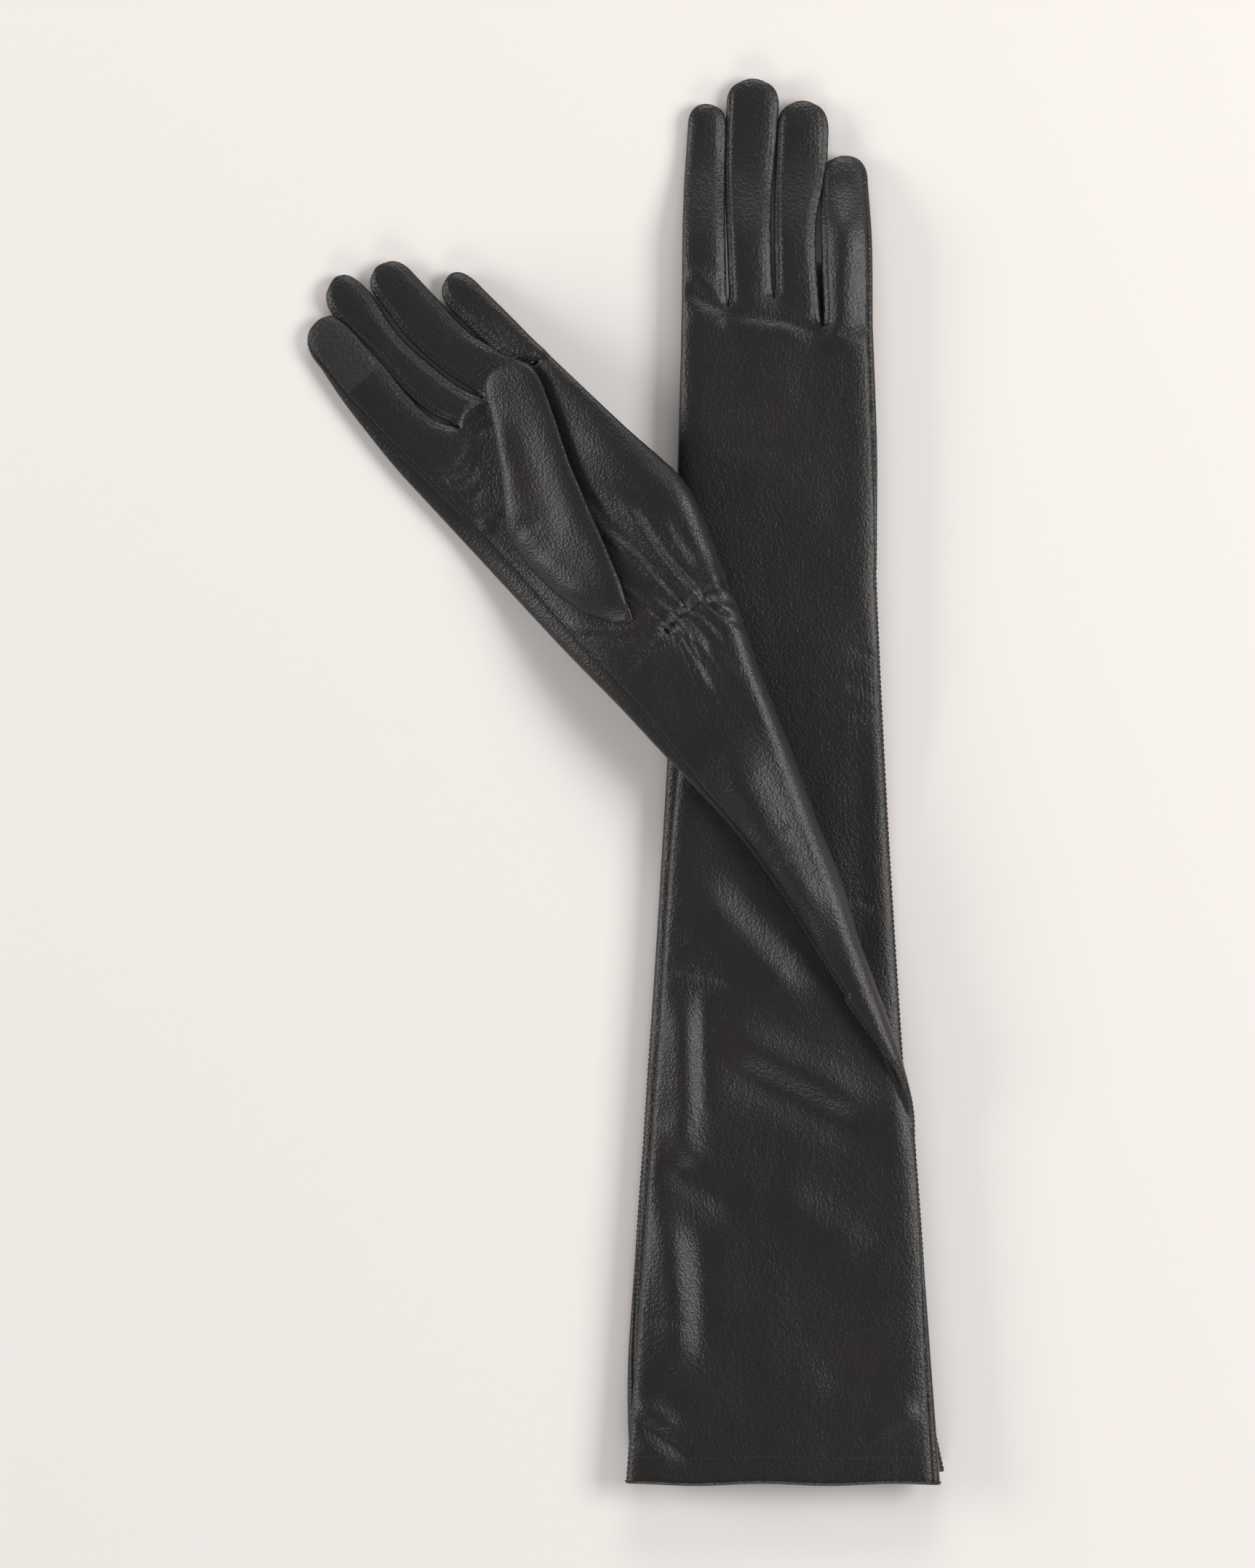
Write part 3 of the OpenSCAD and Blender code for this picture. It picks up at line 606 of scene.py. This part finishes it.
def nappa(name, grain, grain_depth, dark, warm, rough):
    """Smooth leather: fine pebble grain, finer creases in the creased places, and warm worn patches."""
    material, tree, shader = finish_nodes(name)
    place = add(tree, "ShaderNodeTexCoord").outputs["Object"]
    pattern = add(tree, "ShaderNodeUVMap", uv_map="pattern").outputs["UV"]
    creased = add(tree, "ShaderNodeAttribute", attribute_name="crumple").outputs["Fac"]
    patches = add(tree, "ShaderNodeTexNoise", Vector=place, Scale=22.0, Detail=3.0, Roughness=0.55)
    blotch = add(tree, "ShaderNodeMapRange", Value=patches.outputs["Fac"], From_Min=0.47, From_Max=0.72)
    colour = add(tree, "ShaderNodeMix", data_type="RGBA")
    tree.links.new(blotch.outputs["Result"], colour.inputs["Factor"])
    colour.inputs["A"].default_value = (*dark, 1)
    colour.inputs["B"].default_value = (*warm, 1)
    tree.links.new(colour.outputs["Result"], shader.inputs["Base Color"])
    pores = add(tree, "ShaderNodeTexVoronoi", feature="SMOOTH_F1", Vector=place, Scale=grain, Smoothness=0.5)
    speck = add(tree, "ShaderNodeTexNoise", Vector=place, Scale=grain * 1.9, Detail=3.0, Roughness=0.6)
    stretched = add(tree, "ShaderNodeMapping", Vector=pattern, Scale=(1.0, 0.32, 1.0)).outputs["Vector"]
    lines = add(tree, "ShaderNodeTexVoronoi", Vector=stretched, Scale=52.0, feature="DISTANCE_TO_EDGE")
    cracks = add(tree, "ShaderNodeMapRange", Value=lines.outputs["Distance"], From_Max=0.07)
    strain = add(tree, "ShaderNodeTexNoise", Vector=stretched, Scale=60.0, Detail=4.0, Roughness=0.65)
    wrinkle = add(tree, "ShaderNodeTexNoise", Vector=place, Scale=170.0, Detail=4.0, Roughness=0.6,
                  Distortion=0.8)
    amount = add(tree, "ShaderNodeMath", operation="MULTIPLY_ADD")
    tree.links.new(creased, amount.inputs[0])
    amount.inputs[1].default_value = 0.26
    amount.inputs[2].default_value = 0.03
    amount = amount.outputs["Value"]
    relief = bump(tree, pores.outputs["Distance"], grain_depth, 0.0006)
    relief = bump(tree, speck.outputs["Fac"], grain_depth * 0.7, 0.0005, Normal=relief)
    relief = bump(tree, strain.outputs["Fac"], 0.16, 0.0012, Normal=relief)
    relief = bump(tree, cracks.outputs["Result"], amount, 0.0003, Normal=relief)
    relief = bump(tree, wrinkle.outputs["Fac"], amount, 0.0011, Normal=relief)
    tree.links.new(relief, shader.inputs["Normal"])
    shine = add(tree, "ShaderNodeMapRange", Value=speck.outputs["Fac"], To_Min=rough - 0.06,
                To_Max=rough + 0.1)
    tree.links.new(shine.outputs["Result"], shader.inputs["Roughness"])
    shader.inputs["Specular IOR Level"].default_value = 0.5
    shader.inputs["Sheen Weight"].default_value = 0.05
    shader.inputs["Sheen Roughness"].default_value = 0.4
    return material


NAPPA = nappa("black_nappa", 900.0, 0.3, (0.0062, 0.0060, 0.0064), (0.0105, 0.0082, 0.0072), 0.38)


def quads_of(at):
    """The quads between the points of a grid, given as their numbers."""
    return np.stack([at[:-1, :-1], at[:-1, 1:], at[1:, 1:], at[1:, :-1]], -1).reshape(-1, 4)


class Cut:
    """One cut of leather as a grid: where each point lies on the pattern and on the table."""

    def __init__(self, hand, side):
        grids = [body_grid(hand, side)]
        body_u, _, body_w, _ = grids[0]
        for k in range(4):
            u, v, w, seam, root = finger_grid(hand, side, k)
            part = slice(k * COLUMNS, (k + 1) * COLUMNS + 1)
            joined = 1 - parting(v, root)
            u = u + (body_u[-1, part] - u[0]) * joined
            w = w + (body_w[-1, part] - w[0]) * joined
            grids.append((u, v, w, seam))
        self.heights = [v for _, v, _, _ in grids]
        starts = np.cumsum([0] + [v.size for v in self.heights])
        self.index = [np.arange(v.size).reshape(v.shape) + start for v, start in zip(self.heights, starts)]
        for k in range(4):
            self.index[k + 1][0] = self.index[0][-1, k * COLUMNS:(k + 1) * COLUMNS + 1]
        u, v, w, seam = (np.concatenate([grid.ravel() for grid in part]) for part in zip(*grids))
        inside = np.clip(np.abs(w) / HALF, 0, 1) ** 1.3 * np.clip(w * side, 0, 1)
        w = w + side * unevenness(hand, side, u, v) * inside
        self.pattern = np.stack([u, v], 1)
        self.marks = crumple(hand, side, u, v)
        self.points = LAY[hand](u, v, w)
        out = LAY[hand](u, v, w + 0.01 * side) - self.points
        self.flip = False
        self.flip = np.sum(vertex_normals(self.points, np.concatenate(self.all_cells())) * out) < 0
        self.normals = vertex_normals(self.points, np.concatenate(self.all_cells()))
        sunk = SEAM_SUNK * MM * np.exp(-(seam / SEAM_WIDE) ** 2)
        self.points = self.points - self.normals * sunk[:, None]

    def cells(self, part, first, last):
        """The quads between two rows of one part, outside out: part 0 is the body, 1 to 4 the fingers."""
        quads = quads_of(self.index[part][first:last + 1])
        return quads[:, ::-1] if self.flip else quads

    def all_cells(self):
        return [self.cells(part, 0, len(rows) - 1) for part, rows in enumerate(self.index)]

    def touch_row(self):
        """Where the index finger's leather ends and the touch tip starts."""
        return int(np.argmin(np.abs(self.heights[4][:, COLUMNS // 2] - TOUCH_FROM)))

    def sheet(self, name, quads, material):
        """The piece of leather that these quads cover, as one closed thin sheet."""
        used, local = np.unique(quads, return_inverse=True)
        points, faces = shell(self.points[used], local.reshape(-1, 4), LEATHER * MM)
        return piece(name, points, faces, material, np.tile(self.pattern[used], (2, 1)),
                     np.tile(self.marks[used], 2))


# The tip of each index finger's palm side is another leather, from this row of the finger on.
TOUCH_FROM = 551.5


def flat_sheet(obj):
    """Reads the points and corners of a piece cut from flat leather or knit, which hardly stretch; nothing is
    done with them.
    """
    co = np.empty(len(obj.data.vertices) * 3, np.float32)
    obj.data.vertices.foreach_get("co", co)
    corners = np.empty(len(obj.data.loops), np.int32)
    obj.data.loops.foreach_get("vertex_index", corners)


cuts = {}
for hand in ("right", "left"):
    for side, part in ((1, "back"), (-1, "palm")):
        cut = Cut(hand, side)
        cuts[hand, side] = cut
        quads = cut.all_cells()
        if side < 0:
            quads[4] = cut.cells(4, 0, cut.touch_row())
        leather = cut.sheet(f"{hand}_{part}_leather", np.concatenate(quads), NAPPA)
        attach(leather, f"{hand}_glove")
        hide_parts(f"{hand}_{part}_panel")
        flat_sheet(leather)

# ---- Touch tips
# A patch of pebbled leather that works a screen ends the palm side of each index finger. It is sewn edge to
# edge to the palm leather and into the finger's seams.
TOUCH_LEATHER = nappa("touch_leather", 620.0, 0.55, (0.0105, 0.0105, 0.0115), (0.015, 0.0135, 0.0135), 0.46)
for hand in ("right", "left"):
    cut = cuts[hand, -1]
    tip = cut.sheet(f"{hand}_touch_leather", cut.cells(4, cut.touch_row(), FINGER_ROWS), TOUCH_LEATHER)
    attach(tip, f"{hand}_glove")
    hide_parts(f"{hand}_touch_tip")
    flat_sheet(tip)

# ---- Fourchettes
# A narrow strip of the same nappa runs down the side of one finger, round the fork and up the next one's.
# It is sewn between the two leathers a little inside their edges, which gives the fingers their thickness.
STRIP_ACROSS = 8
STRIP_SUNK = 0.45
FORK_CLOSE = 1.6


def finger_side(hand, k, after):
    """A finger's side from root to tip, from the back leather's edge round to the palm leather's: its skin,
    how it bulges and its pattern points."""
    v_mid, low, high, thick, narrow = (x[:, None] for x in finger_edges(hand, k))
    root = OUTLINE[hand]["forks"][k if after else k - 1][1]
    turn = np.linspace(FORK_IN, -FORK_IN, STRIP_ACROSS + 1) * narrow
    v = from_root(v_mid, root) + 0 * turn
    u, w = section(low, high, thick, skin_length(low, high) - turn if after else turn)
    round_side = LAY[hand](u, v, w)
    back, palm = (cuts[hand, side].points[cuts[hand, side].index[k + 1][:, COLUMNS if after else 0]]
                  for side in (1, -1))
    t = np.linspace(0, 1, STRIP_ACROSS + 1)[None, :, None]
    edges = back[:, None] * (1 - t) + palm[:, None] * t
    bulge = round_side - round_side[:, :1] * (1 - t) - round_side[:, -1:] * t
    return edges + bulge * smooth((v - root) / FORK_CLOSE)[..., None], bulge, np.stack([u, v], -1)


def grid_quads(rows, columns, closed=False):
    """The quads of a whole piece's grid, whose columns may close into a ring."""
    at = np.arange(rows * columns).reshape(rows, columns)
    if closed:
        at = np.concatenate([at, at[:, :1]], 1)
    return quads_of(at)


FINGERS = ("pinky", "ring", "middle", "index")
for hand in ("right", "left"):
    for k in range(3):
        sides = zip(finger_side(hand, k, True), finger_side(hand, k + 1, False))
        skin, outward, pattern = (np.concatenate([down[::-1], up[1:]]) for down, up in sides)
        skin, outward = skin.reshape(-1, 3), outward.reshape(-1, 3)
        quads = grid_quads(2 * FINGER_ROWS + 1, STRIP_ACROSS + 1)
        if np.sum(vertex_normals(skin, quads) * outward) < 0:
            quads = quads[:, ::-1]
        skin = skin - vertex_normals(skin, quads) * STRIP_SUNK * MM
        name = f"{hand}_fourchette_{FINGERS[k + 1]}_{FINGERS[k]}"
        strip = thin_sheet(f"{name}_leather", skin, quads, LEATHER, NAPPA, pattern)
        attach(strip, f"{hand}_glove")
        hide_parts(name)
        flat_sheet(strip)

# ---- Thumbs
# Each thumb is a flat tube of nappa set into a long hole in the palm. It points across to the ring finger.
# Its seam runs up its index side, a little inside the edge, and round the hole it is sewn down to the palm.
THUMB_FOOT = (15.5, 401.0)
THUMB_CROSS = math.radians(21)
THUMB_HALF = THUMB_THICK / 2
THUMB_CLEAR = 0.6
THUMB_ROOT, HOLE_TOP, THUMB_STRAIGHT, THUMB_TIP = -1.6, 52.0, 104.0, 120.6
THUMB_TIP_MIDDLE = 8.2
THUMB_RISE = 6.0
SEWN_TO, SEWN_FADE = 46.0, 14.0
LOOSE_FROM, LOOSE_FADE = 48.0, 10.0
THUMB_HELD, THUMB_FREE = (14, 24), (10, 80)
HOLE_ROWS, FREE_ROWS, THUMB_CAP_ROWS = 55, 45, 23
THUMB_ACROSS = 40
ACROSS_THUMB = spread(THUMB_ACROSS, 0.5)
# The thumb's outlines on its seam's side and its free side, and the far edge of the hole, as (along, across).
THUMB_SEAM_SIDE = [(-1.6, -4.6), (0.2, 3.6), (8.3, 13.5), (20.4, 21.7), (35.7, 28.8), (46, 31.6), (52, 32.1),
                   (57, 30.6), (73, 26.4), (88.4, 23.2), (104, 20.6)]
THUMB_FREE_SIDE = [(-1.6, -5.0), (16, -6.0), (32, -5.4), (52, -4.3), (71, -3.4), (90, -4.2), (104, -4.4)]
HOLE_SIDE = [(-1.6, -5.2), (0.9, -9.8), (7.2, -13.4), (19.8, -13.7), (30.2, -10), (35.3, -6.7), (42, 6),
             (48, 22), (52, 32)]
THUMB_FOLDS = [
    ([(28, 40), (26, 64), (22, 86), (19, 110)], 7.0, 0.9),
    ([(30, 50), (24, 52), (16, 50)], 3.0, -0.5),
    ([(-3, 30), (4, 52), (5, 80), (6, 100)], 5.0, 0.35),
    ([(12, 36), (14, 66), (12, 96)], 6.0, -0.45),
    ([(24, 62), (21, 82), (18, 102)], 4.0, 0.4),
    ([(8, 10), (16, 26), (22, 40)], 6.0, 0.6),
]


def on_thumb(x, y):
    """Pattern points from places on the thumb: x across it and y from its foot to its tip."""
    return (THUMB_FOOT[0] + x * math.cos(THUMB_CROSS) - y * math.sin(THUMB_CROSS),
            THUMB_FOOT[1] + x * math.sin(THUMB_CROSS) + y * math.cos(THUMB_CROSS))


def bend_with_thumb(obj, hand):
    """Works out where the thumb's held foot and its free place lie on the table, which nothing uses, and
    bakes the piece's placement into its points.
    """
    held, free = (tuple(LAY[hand](*(np.array(a) for a in on_thumb(*place)), np.array(-HALF - THUMB_HALF)))
                  for place in (THUMB_HELD, THUMB_FREE))
    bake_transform(obj)


def thumb_skin(hand):
    """Rows round the thumb, from its seam's side over the top and back underneath: x, y and u, v, w."""
    y = np.concatenate([THUMB_ROOT + (HOLE_TOP - THUMB_ROOT) * np.linspace(0, 1, HOLE_ROWS + 1) ** 1.4,
                        np.linspace(HOLE_TOP, THUMB_STRAIGHT, FREE_ROWS + 1)[1:]])
    cap = np.linspace(0, math.pi / 2 * CAP_END, THUMB_CAP_ROWS + 1)[1:]
    narrow = np.concatenate([np.ones(len(y)), np.cos(cap) ** CAP_NARROW])[:, None]
    y = np.concatenate([y, THUMB_STRAIGHT + (THUMB_TIP - THUMB_STRAIGHT) * np.sin(cap) ** 0.8])[:, None]
    seam_side = np.interp(np.minimum(y, THUMB_STRAIGHT), *np.array(THUMB_SEAM_SIDE).T)
    free_side = np.interp(np.minimum(y, THUMB_STRAIGHT), *np.array(THUMB_FREE_SIDE).T)
    middle = THUMB_TIP_MIDDLE + ((seam_side + free_side) / 2 - THUMB_TIP_MIDDLE) * narrow
    half_wide = (seam_side - free_side) / 2 * narrow
    low, high = middle - half_wide, middle + half_wide
    rise = 1 - np.exp(-(y - THUMB_ROOT) / THUMB_RISE)
    thick = THUMB_HALF * rise * narrow ** 0.8
    middle_high = (THUMB_CLEAR + THUMB_HALF) * rise
    whole = skin_length(low, high)
    s = (1 - ACROSS_THUMB) * whole
    x_top, top = section(low, high, thick, s)
    sewn = 1 - smooth((y - SEWN_TO) / SEWN_FADE)
    h_top = top + middle_high * (1 - sewn * np.exp(-(high - x_top) / 4))
    x_free, under = section(low, high, thick, whole - s)
    h_free = middle_high - under
    target = np.interp(y, *np.array(HOLE_SIDE).T)
    t = ACROSS_THUMB
    x_sewn = low + 2.5 * np.sin(math.pi * np.minimum(t / 0.6, 1)) + (target - low) * smooth((t - 0.3) / 0.7)
    h_sewn = middle_high * (1 - smooth(t / 0.5)) + 0.15
    loose = smooth((y - LOOSE_FROM) / LOOSE_FADE)
    x_under = x_sewn + (x_free - x_sewn) * loose
    h_under = h_sewn + (h_free - h_sewn) * loose
    x = np.concatenate([x_top, x_under[:, 1:]], 1)
    h = np.concatenate([h_top, h_under[:, 1:]], 1)
    y = y + 0 * x
    u, v = on_thumb(x, y)
    own = 0.22 * waviness(x, y, 9, 14, 31) + sum(ridge(x, y, *fold) for fold in THUMB_FOLDS)
    h = h + own * smooth(h / 4)
    palm = unevenness(hand, -1, u, v)
    return x, y, u, v, -(HALF + h + palm * np.exp(-np.clip(h, 0, None) / 1.5))


thumbs = {}
for hand in ("right", "left"):
    x, y, u, v, w = thumb_skin(hand)
    skin = LAY[hand](u, v, w)
    quads = grid_quads(*x.shape)
    top = skin[:, THUMB_ACROSS // 2] - skin[:, -THUMB_ACROSS // 2]
    normals = vertex_normals(skin.reshape(-1, 3), quads).reshape(skin.shape)
    if np.sum(normals[:, THUMB_ACROSS // 2] * top) < 0:
        quads = quads[:, ::-1]
        normals = -normals
    thumbs[hand] = (skin, normals, y)
    thumb = thin_sheet(f"{hand}_thumb_leather", skin, quads, LEATHER, NAPPA, np.stack([x + 200, y], -1))
    bend_with_thumb(thumb, hand)
    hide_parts(f"{hand}_thumb")
    flat_sheet(thumb)

# ---- Hems
# At the mouth the leather is turned in over a rounded edge and lies 12 mm up inside, up to the lining.
# It is sewn down all round by one row of short stitches.
HEM_DEPTH = 12.0
HEM_ROUND = 0.78
HEM_ROWS = 8
LOOP_COLUMNS = 110


def skin_loop(hand, v, depth):
    """Rings right round the glove at these heights, at these depths inside its skin."""
    v, depth = np.array(v, float)[:, None], np.array(depth, float)[:, None]
    low, high = body_edges(hand, v)
    low, high = low + depth, high - depth
    s = skin_length(low, high) * (np.arange(LOOP_COLUMNS + 1) / LOOP_COLUMNS)
    u, w = section(low, high, HALF - depth, s)
    v = v + 0 * u
    rings = []
    for side in (1, -1):
        inside = np.clip(w / (HALF - depth), 0, 1) ** 1.3
        rings.append((u, v, side * (w + unevenness(hand, side, u, v) * inside)))
    u, v, w = (np.concatenate([a, b[:, -2:0:-1]], 1) for a, b in zip(*rings))
    return u, v, w


def skin_tube(name, hand, v, depth, thick, material):
    """A closed thin tube through these rings, its thickness inwards."""
    u, v, w = skin_loop(hand, v, depth)
    skin = LAY[hand](u, v, w)
    return thin_sheet(name, skin, grid_quads(*u.shape, closed=True), thick, material, np.stack([u, v], -1))


for hand in ("right", "left"):
    turn = np.linspace(-math.pi / 2, math.pi / 2, HEM_ROWS + 1)
    up = np.linspace(SKIN_FROM, HEM_DEPTH, HEM_ROWS + 1)[1:]
    hem = skin_tube(f"{hand}_turned_hem", hand, [*(SKIN_FROM - HEM_ROUND * np.cos(turn)), *up],
                    [*(HEM_ROUND * (1 + np.sin(turn))), *(0 * up + 2 * HEM_ROUND)], LEATHER, NAPPA)
    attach(hem, f"{hand}_glove")
    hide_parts(f"{hand}_hem")
    flat_sheet(hem)

# ---- Linings
# A thin tube of black jersey lines the sleeve and the hand, from the inner edge of the hem to the fingers.
# It is caught in at the hem and hangs loose above it.
LINING = 0.4
LINING_DEPTH = 1.1
LINING_FROM, LINING_TOP = HEM_DEPTH + 0.3, 485.0
LINING_ROWS = 190


def knit(name, colour):
    """A fine jersey: rows of small loops."""
    material, tree, shader = finish_nodes(name)
    shader.inputs["Base Color"].default_value = (*colour, 1)
    shader.inputs["Roughness"].default_value = 0.85
    shader.inputs["Specular IOR Level"].default_value = 0.2
    pattern = add(tree, "ShaderNodeUVMap", uv_map="pattern").outputs["UV"]
    ribs = add(tree, "ShaderNodeTexWave", Vector=pattern, Scale=34.0, Distortion=0.6, bands_direction="X")
    rows = add(tree, "ShaderNodeTexWave", Vector=pattern, Scale=48.0, Distortion=1.0, bands_direction="Y")
    relief = bump(tree, ribs.outputs["Fac"], 0.7, 0.0003)
    relief = bump(tree, rows.outputs["Fac"], 0.5, 0.0002, Normal=relief)
    tree.links.new(relief, shader.inputs["Normal"])
    return material


JERSEY = knit("knitted_lining", (0.013, 0.0125, 0.013))
for hand in ("right", "left"):
    heights = np.linspace(LINING_FROM, LINING_TOP, LINING_ROWS)
    lining = skin_tube(f"{hand}_knitted_lining", hand, heights, 0 * heights + LINING_DEPTH, LINING, JERSEY)
    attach(lining, f"{hand}_glove")
    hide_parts(f"{hand}_lining")
    flat_sheet(lining)

# ---- Wrist elastics
# A flat woven elastic, 50 mm long and 6 mm wide, is sewn across the inside of the palm leather at the wrist.
# It is stretched as it is sewn, so that it draws the leather into gathers.
ELASTIC_U = (-28.0, 22.0)
ELASTIC_WIDE = 6.0
ELASTIC_THICK = 0.5
ELASTIC_IN = 2.4
ELASTIC_RIB, ELASTIC_RIB_PITCH = 0.08, 1.2
ELASTIC_COLUMNS, ELASTIC_ROWS = 100, 12
ELASTIC = knit("black_elastic", (0.012, 0.012, 0.012))
for hand in ("right", "left"):
    u, v = np.meshgrid(np.linspace(*ELASTIC_U, ELASTIC_COLUMNS + 1),
                       WRIST + ELASTIC_WIDE * np.linspace(-0.5, 0.5, ELASTIC_ROWS + 1))
    ribs = ELASTIC_RIB * np.cos(2 * math.pi * v / ELASTIC_RIB_PITCH)
    skin = LAY[hand](u, v, ELASTIC_IN - HALF + ribs)
    elastic = thin_sheet(f"{hand}_elastic", skin, grid_quads(*u.shape), ELASTIC_THICK, ELASTIC,
                         np.stack([u, v], -1))
    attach(elastic, f"{hand}_glove")
    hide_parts(f"{hand}_wrist_elastic")

# ---- Sewing
# Black thread, sewn by machine in short stitches about 2 mm apart, 1 mm beside the joint of the leathers.
# One thread each runs up both sides of a glove, round the fingers, round the hem and round the thumb.
STITCH_PITCH = 2.1
STITCH_LONG = 1.5
STITCH_THICK = 0.4
STITCH_SIDES = 5
STITCH_ASIDE = 1.0
TANGENT_STEP = 0.4
TIP_STOP = -9
TOUCH_SEAM_UP = 0.2
HEM_SEAM = HEM_DEPTH - 1.5
HEM_SEAM_STEP = 0.5
# One stitch from end to end: its place as a share of the length, width as a share of the thickness, height.
STITCH_SHAPE = ((-0.5, 0.05, -0.16), (-0.38, 0.8, 0.0), (-0.12, 1.0, 0.08), (0.12, 1.0, 0.08),
                (0.38, 0.8, 0.0), (0.5, 0.05, -0.16))
thread, thread_tree, thread_shader = finish_nodes("sewing_thread")
thread_shader.inputs["Roughness"].default_value = 0.5
twist = add(thread_tree, "ShaderNodeTexNoise", Scale=1600.0, Detail=1.0,
            Vector=add(thread_tree, "ShaderNodeTexCoord").outputs["Object"])
shade = add(thread_tree, "ShaderNodeMapRange", Value=twist.outputs["Fac"], To_Min=0.011, To_Max=0.030)
thread_tree.links.new(shade.outputs["Result"], thread_shader.inputs["Base Color"])
thread_tree.links.new(bump(thread_tree, twist.outputs["Fac"], 0.4, 0.0002), thread_shader.inputs["Normal"])


def along(values, gone, where):
    """The three parts of some values at these lengths along a line."""
    return np.stack([np.interp(where, gone, values[:, i]) for i in range(3)], -1)


def sew(name, lines, node, hand):
    """Stitches along lines on the leather, each given as its points and the way up at each of them."""
    rows, faces, start = [], [], 0
    corners = len(STITCH_SHAPE) * STITCH_SIDES
    one_stitch = grid_quads(len(STITCH_SHAPE), STITCH_SIDES, closed=True)
    for line, up in lines:
        gone = np.concatenate([[0], np.cumsum(np.linalg.norm(np.diff(line, axis=0), axis=1))])
        at = np.arange(STITCH_PITCH * MM / 2, gone[-1], STITCH_PITCH * MM)
        middle, normal = along(line, gone, at), along(up, gone, at)
        tangent = along(line, gone, at + TANGENT_STEP * MM) - along(line, gone, at - TANGENT_STEP * MM)
        tangent /= np.maximum(np.linalg.norm(tangent, axis=1, keepdims=True), 1e-12)
        aside = np.cross(normal, tangent)
        stitches = []
        for step, wide, lift in STITCH_SHAPE:
            core = middle + tangent * step * STITCH_LONG * MM + normal * lift * MM
            for i in range(STITCH_SIDES):
                angle = 2 * math.pi * i / STITCH_SIDES
                outward = aside * math.cos(angle) + normal * math.sin(angle)
                stitches.append(core + outward * wide * STITCH_THICK / 2 * MM)
        rows.append(np.stack(stitches, 1).reshape(-1, 3))
        faces.append((one_stitch + start + corners * np.arange(len(at))[:, None, None]).reshape(-1, 4))
        start += corners * len(at)
    made = piece(name, np.concatenate(rows), np.concatenate(faces), thread)
    if hand is not None:
        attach(made, f"{hand}_glove")
    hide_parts(node)
    return made


def beside(cut, part, from_end, first=0, last=None):
    """A line 1 mm inside the edge of one part of a cut, and the way up along it."""
    rows = cut.index[part][first:last]
    if from_end:
        rows = rows[:, ::-1]
    points, normals = cut.points[rows], cut.normals[rows]
    gone = np.cumsum(np.linalg.norm(np.diff(points, axis=1), axis=2), axis=1)
    j = np.argmax(gone > STITCH_ASIDE * MM, axis=1)
    i = np.arange(len(rows))
    before = np.where(j > 0, gone[i, j - 1], 0)
    t = ((STITCH_ASIDE * MM - before) / (gone[i, j] - before))[:, None]
    return points[i, j] * (1 - t) + points[i, j + 1] * t, normals[i, j]


for hand in ("right", "left"):
    back, palm = cuts[hand, 1], cuts[hand, -1]
    index_lines = [beside(cut, part, True, last=TIP_STOP if part else None)
                   for cut in (back, palm) for part in (0, 4)]
    pinky_lines = [beside(cut, part, False, last=TIP_STOP if part else None)
                   for cut in (back, palm) for part in (0, 1)]
    sew(f"{hand}_index_side_stitches", index_lines, f"{hand}_index_side_seam", hand)
    sew(f"{hand}_pinky_side_stitches", pinky_lines, f"{hand}_pinky_side_seam", hand)
    finger_lines = [beside(cut, k + 1, from_end, first=3, last=TIP_STOP) for cut in (back, palm)
                    for k in range(4) for from_end in (False, True)
                    if (k, from_end) not in ((0, False), (3, True))]
    below, above = palm.index[4][palm.touch_row() + 1:palm.touch_row() + 3]
    touch_line = palm.points[below] * (1 - TOUCH_SEAM_UP) + palm.points[above] * TOUCH_SEAM_UP
    finger_lines.append((touch_line, palm.normals[below]))
    sew(f"{hand}_finger_stitches", finger_lines, f"{hand}_finger_seams", hand)

    u, v, w = skin_loop(hand, [HEM_SEAM, HEM_SEAM + HEM_SEAM_STEP], [0, 0])
    ring, above = LAY[hand](u, v, w)
    outward = LAY[hand](u, v, w * 1.02)[0] - ring
    up = np.cross(above - ring, np.roll(ring, -1, 0) - np.roll(ring, 1, 0))
    up /= np.linalg.norm(up, axis=1, keepdims=True)
    up *= np.sign(np.sum(up * outward, axis=1, keepdims=True) + 1e-12)
    hem_line = np.concatenate([ring, ring[:1]]), np.concatenate([up, up[:1]])
    sew(f"{hand}_hem_stitches", [hem_line], f"{hand}_hem_stitching", hand)

    # Up the hole's near side, along its far side, and up the thumb's own seam from the top of the hole.
    skin, normals, y = thumbs[hand]
    hole_top = int(np.argmin(np.abs(y[:, 0] - HOLE_TOP)))
    places = (slice(0, hole_top), 1), (slice(1, hole_top - 6), -2), (slice(hole_top, -10), 7)
    thumb_lines = [(skin[place], normals[place]) for place in places]
    thumb_thread = sew(f"{hand}_thumb_stitches", thumb_lines, f"{hand}_thumb_seam", None)
    bend_with_thumb(thumb_thread, hand)
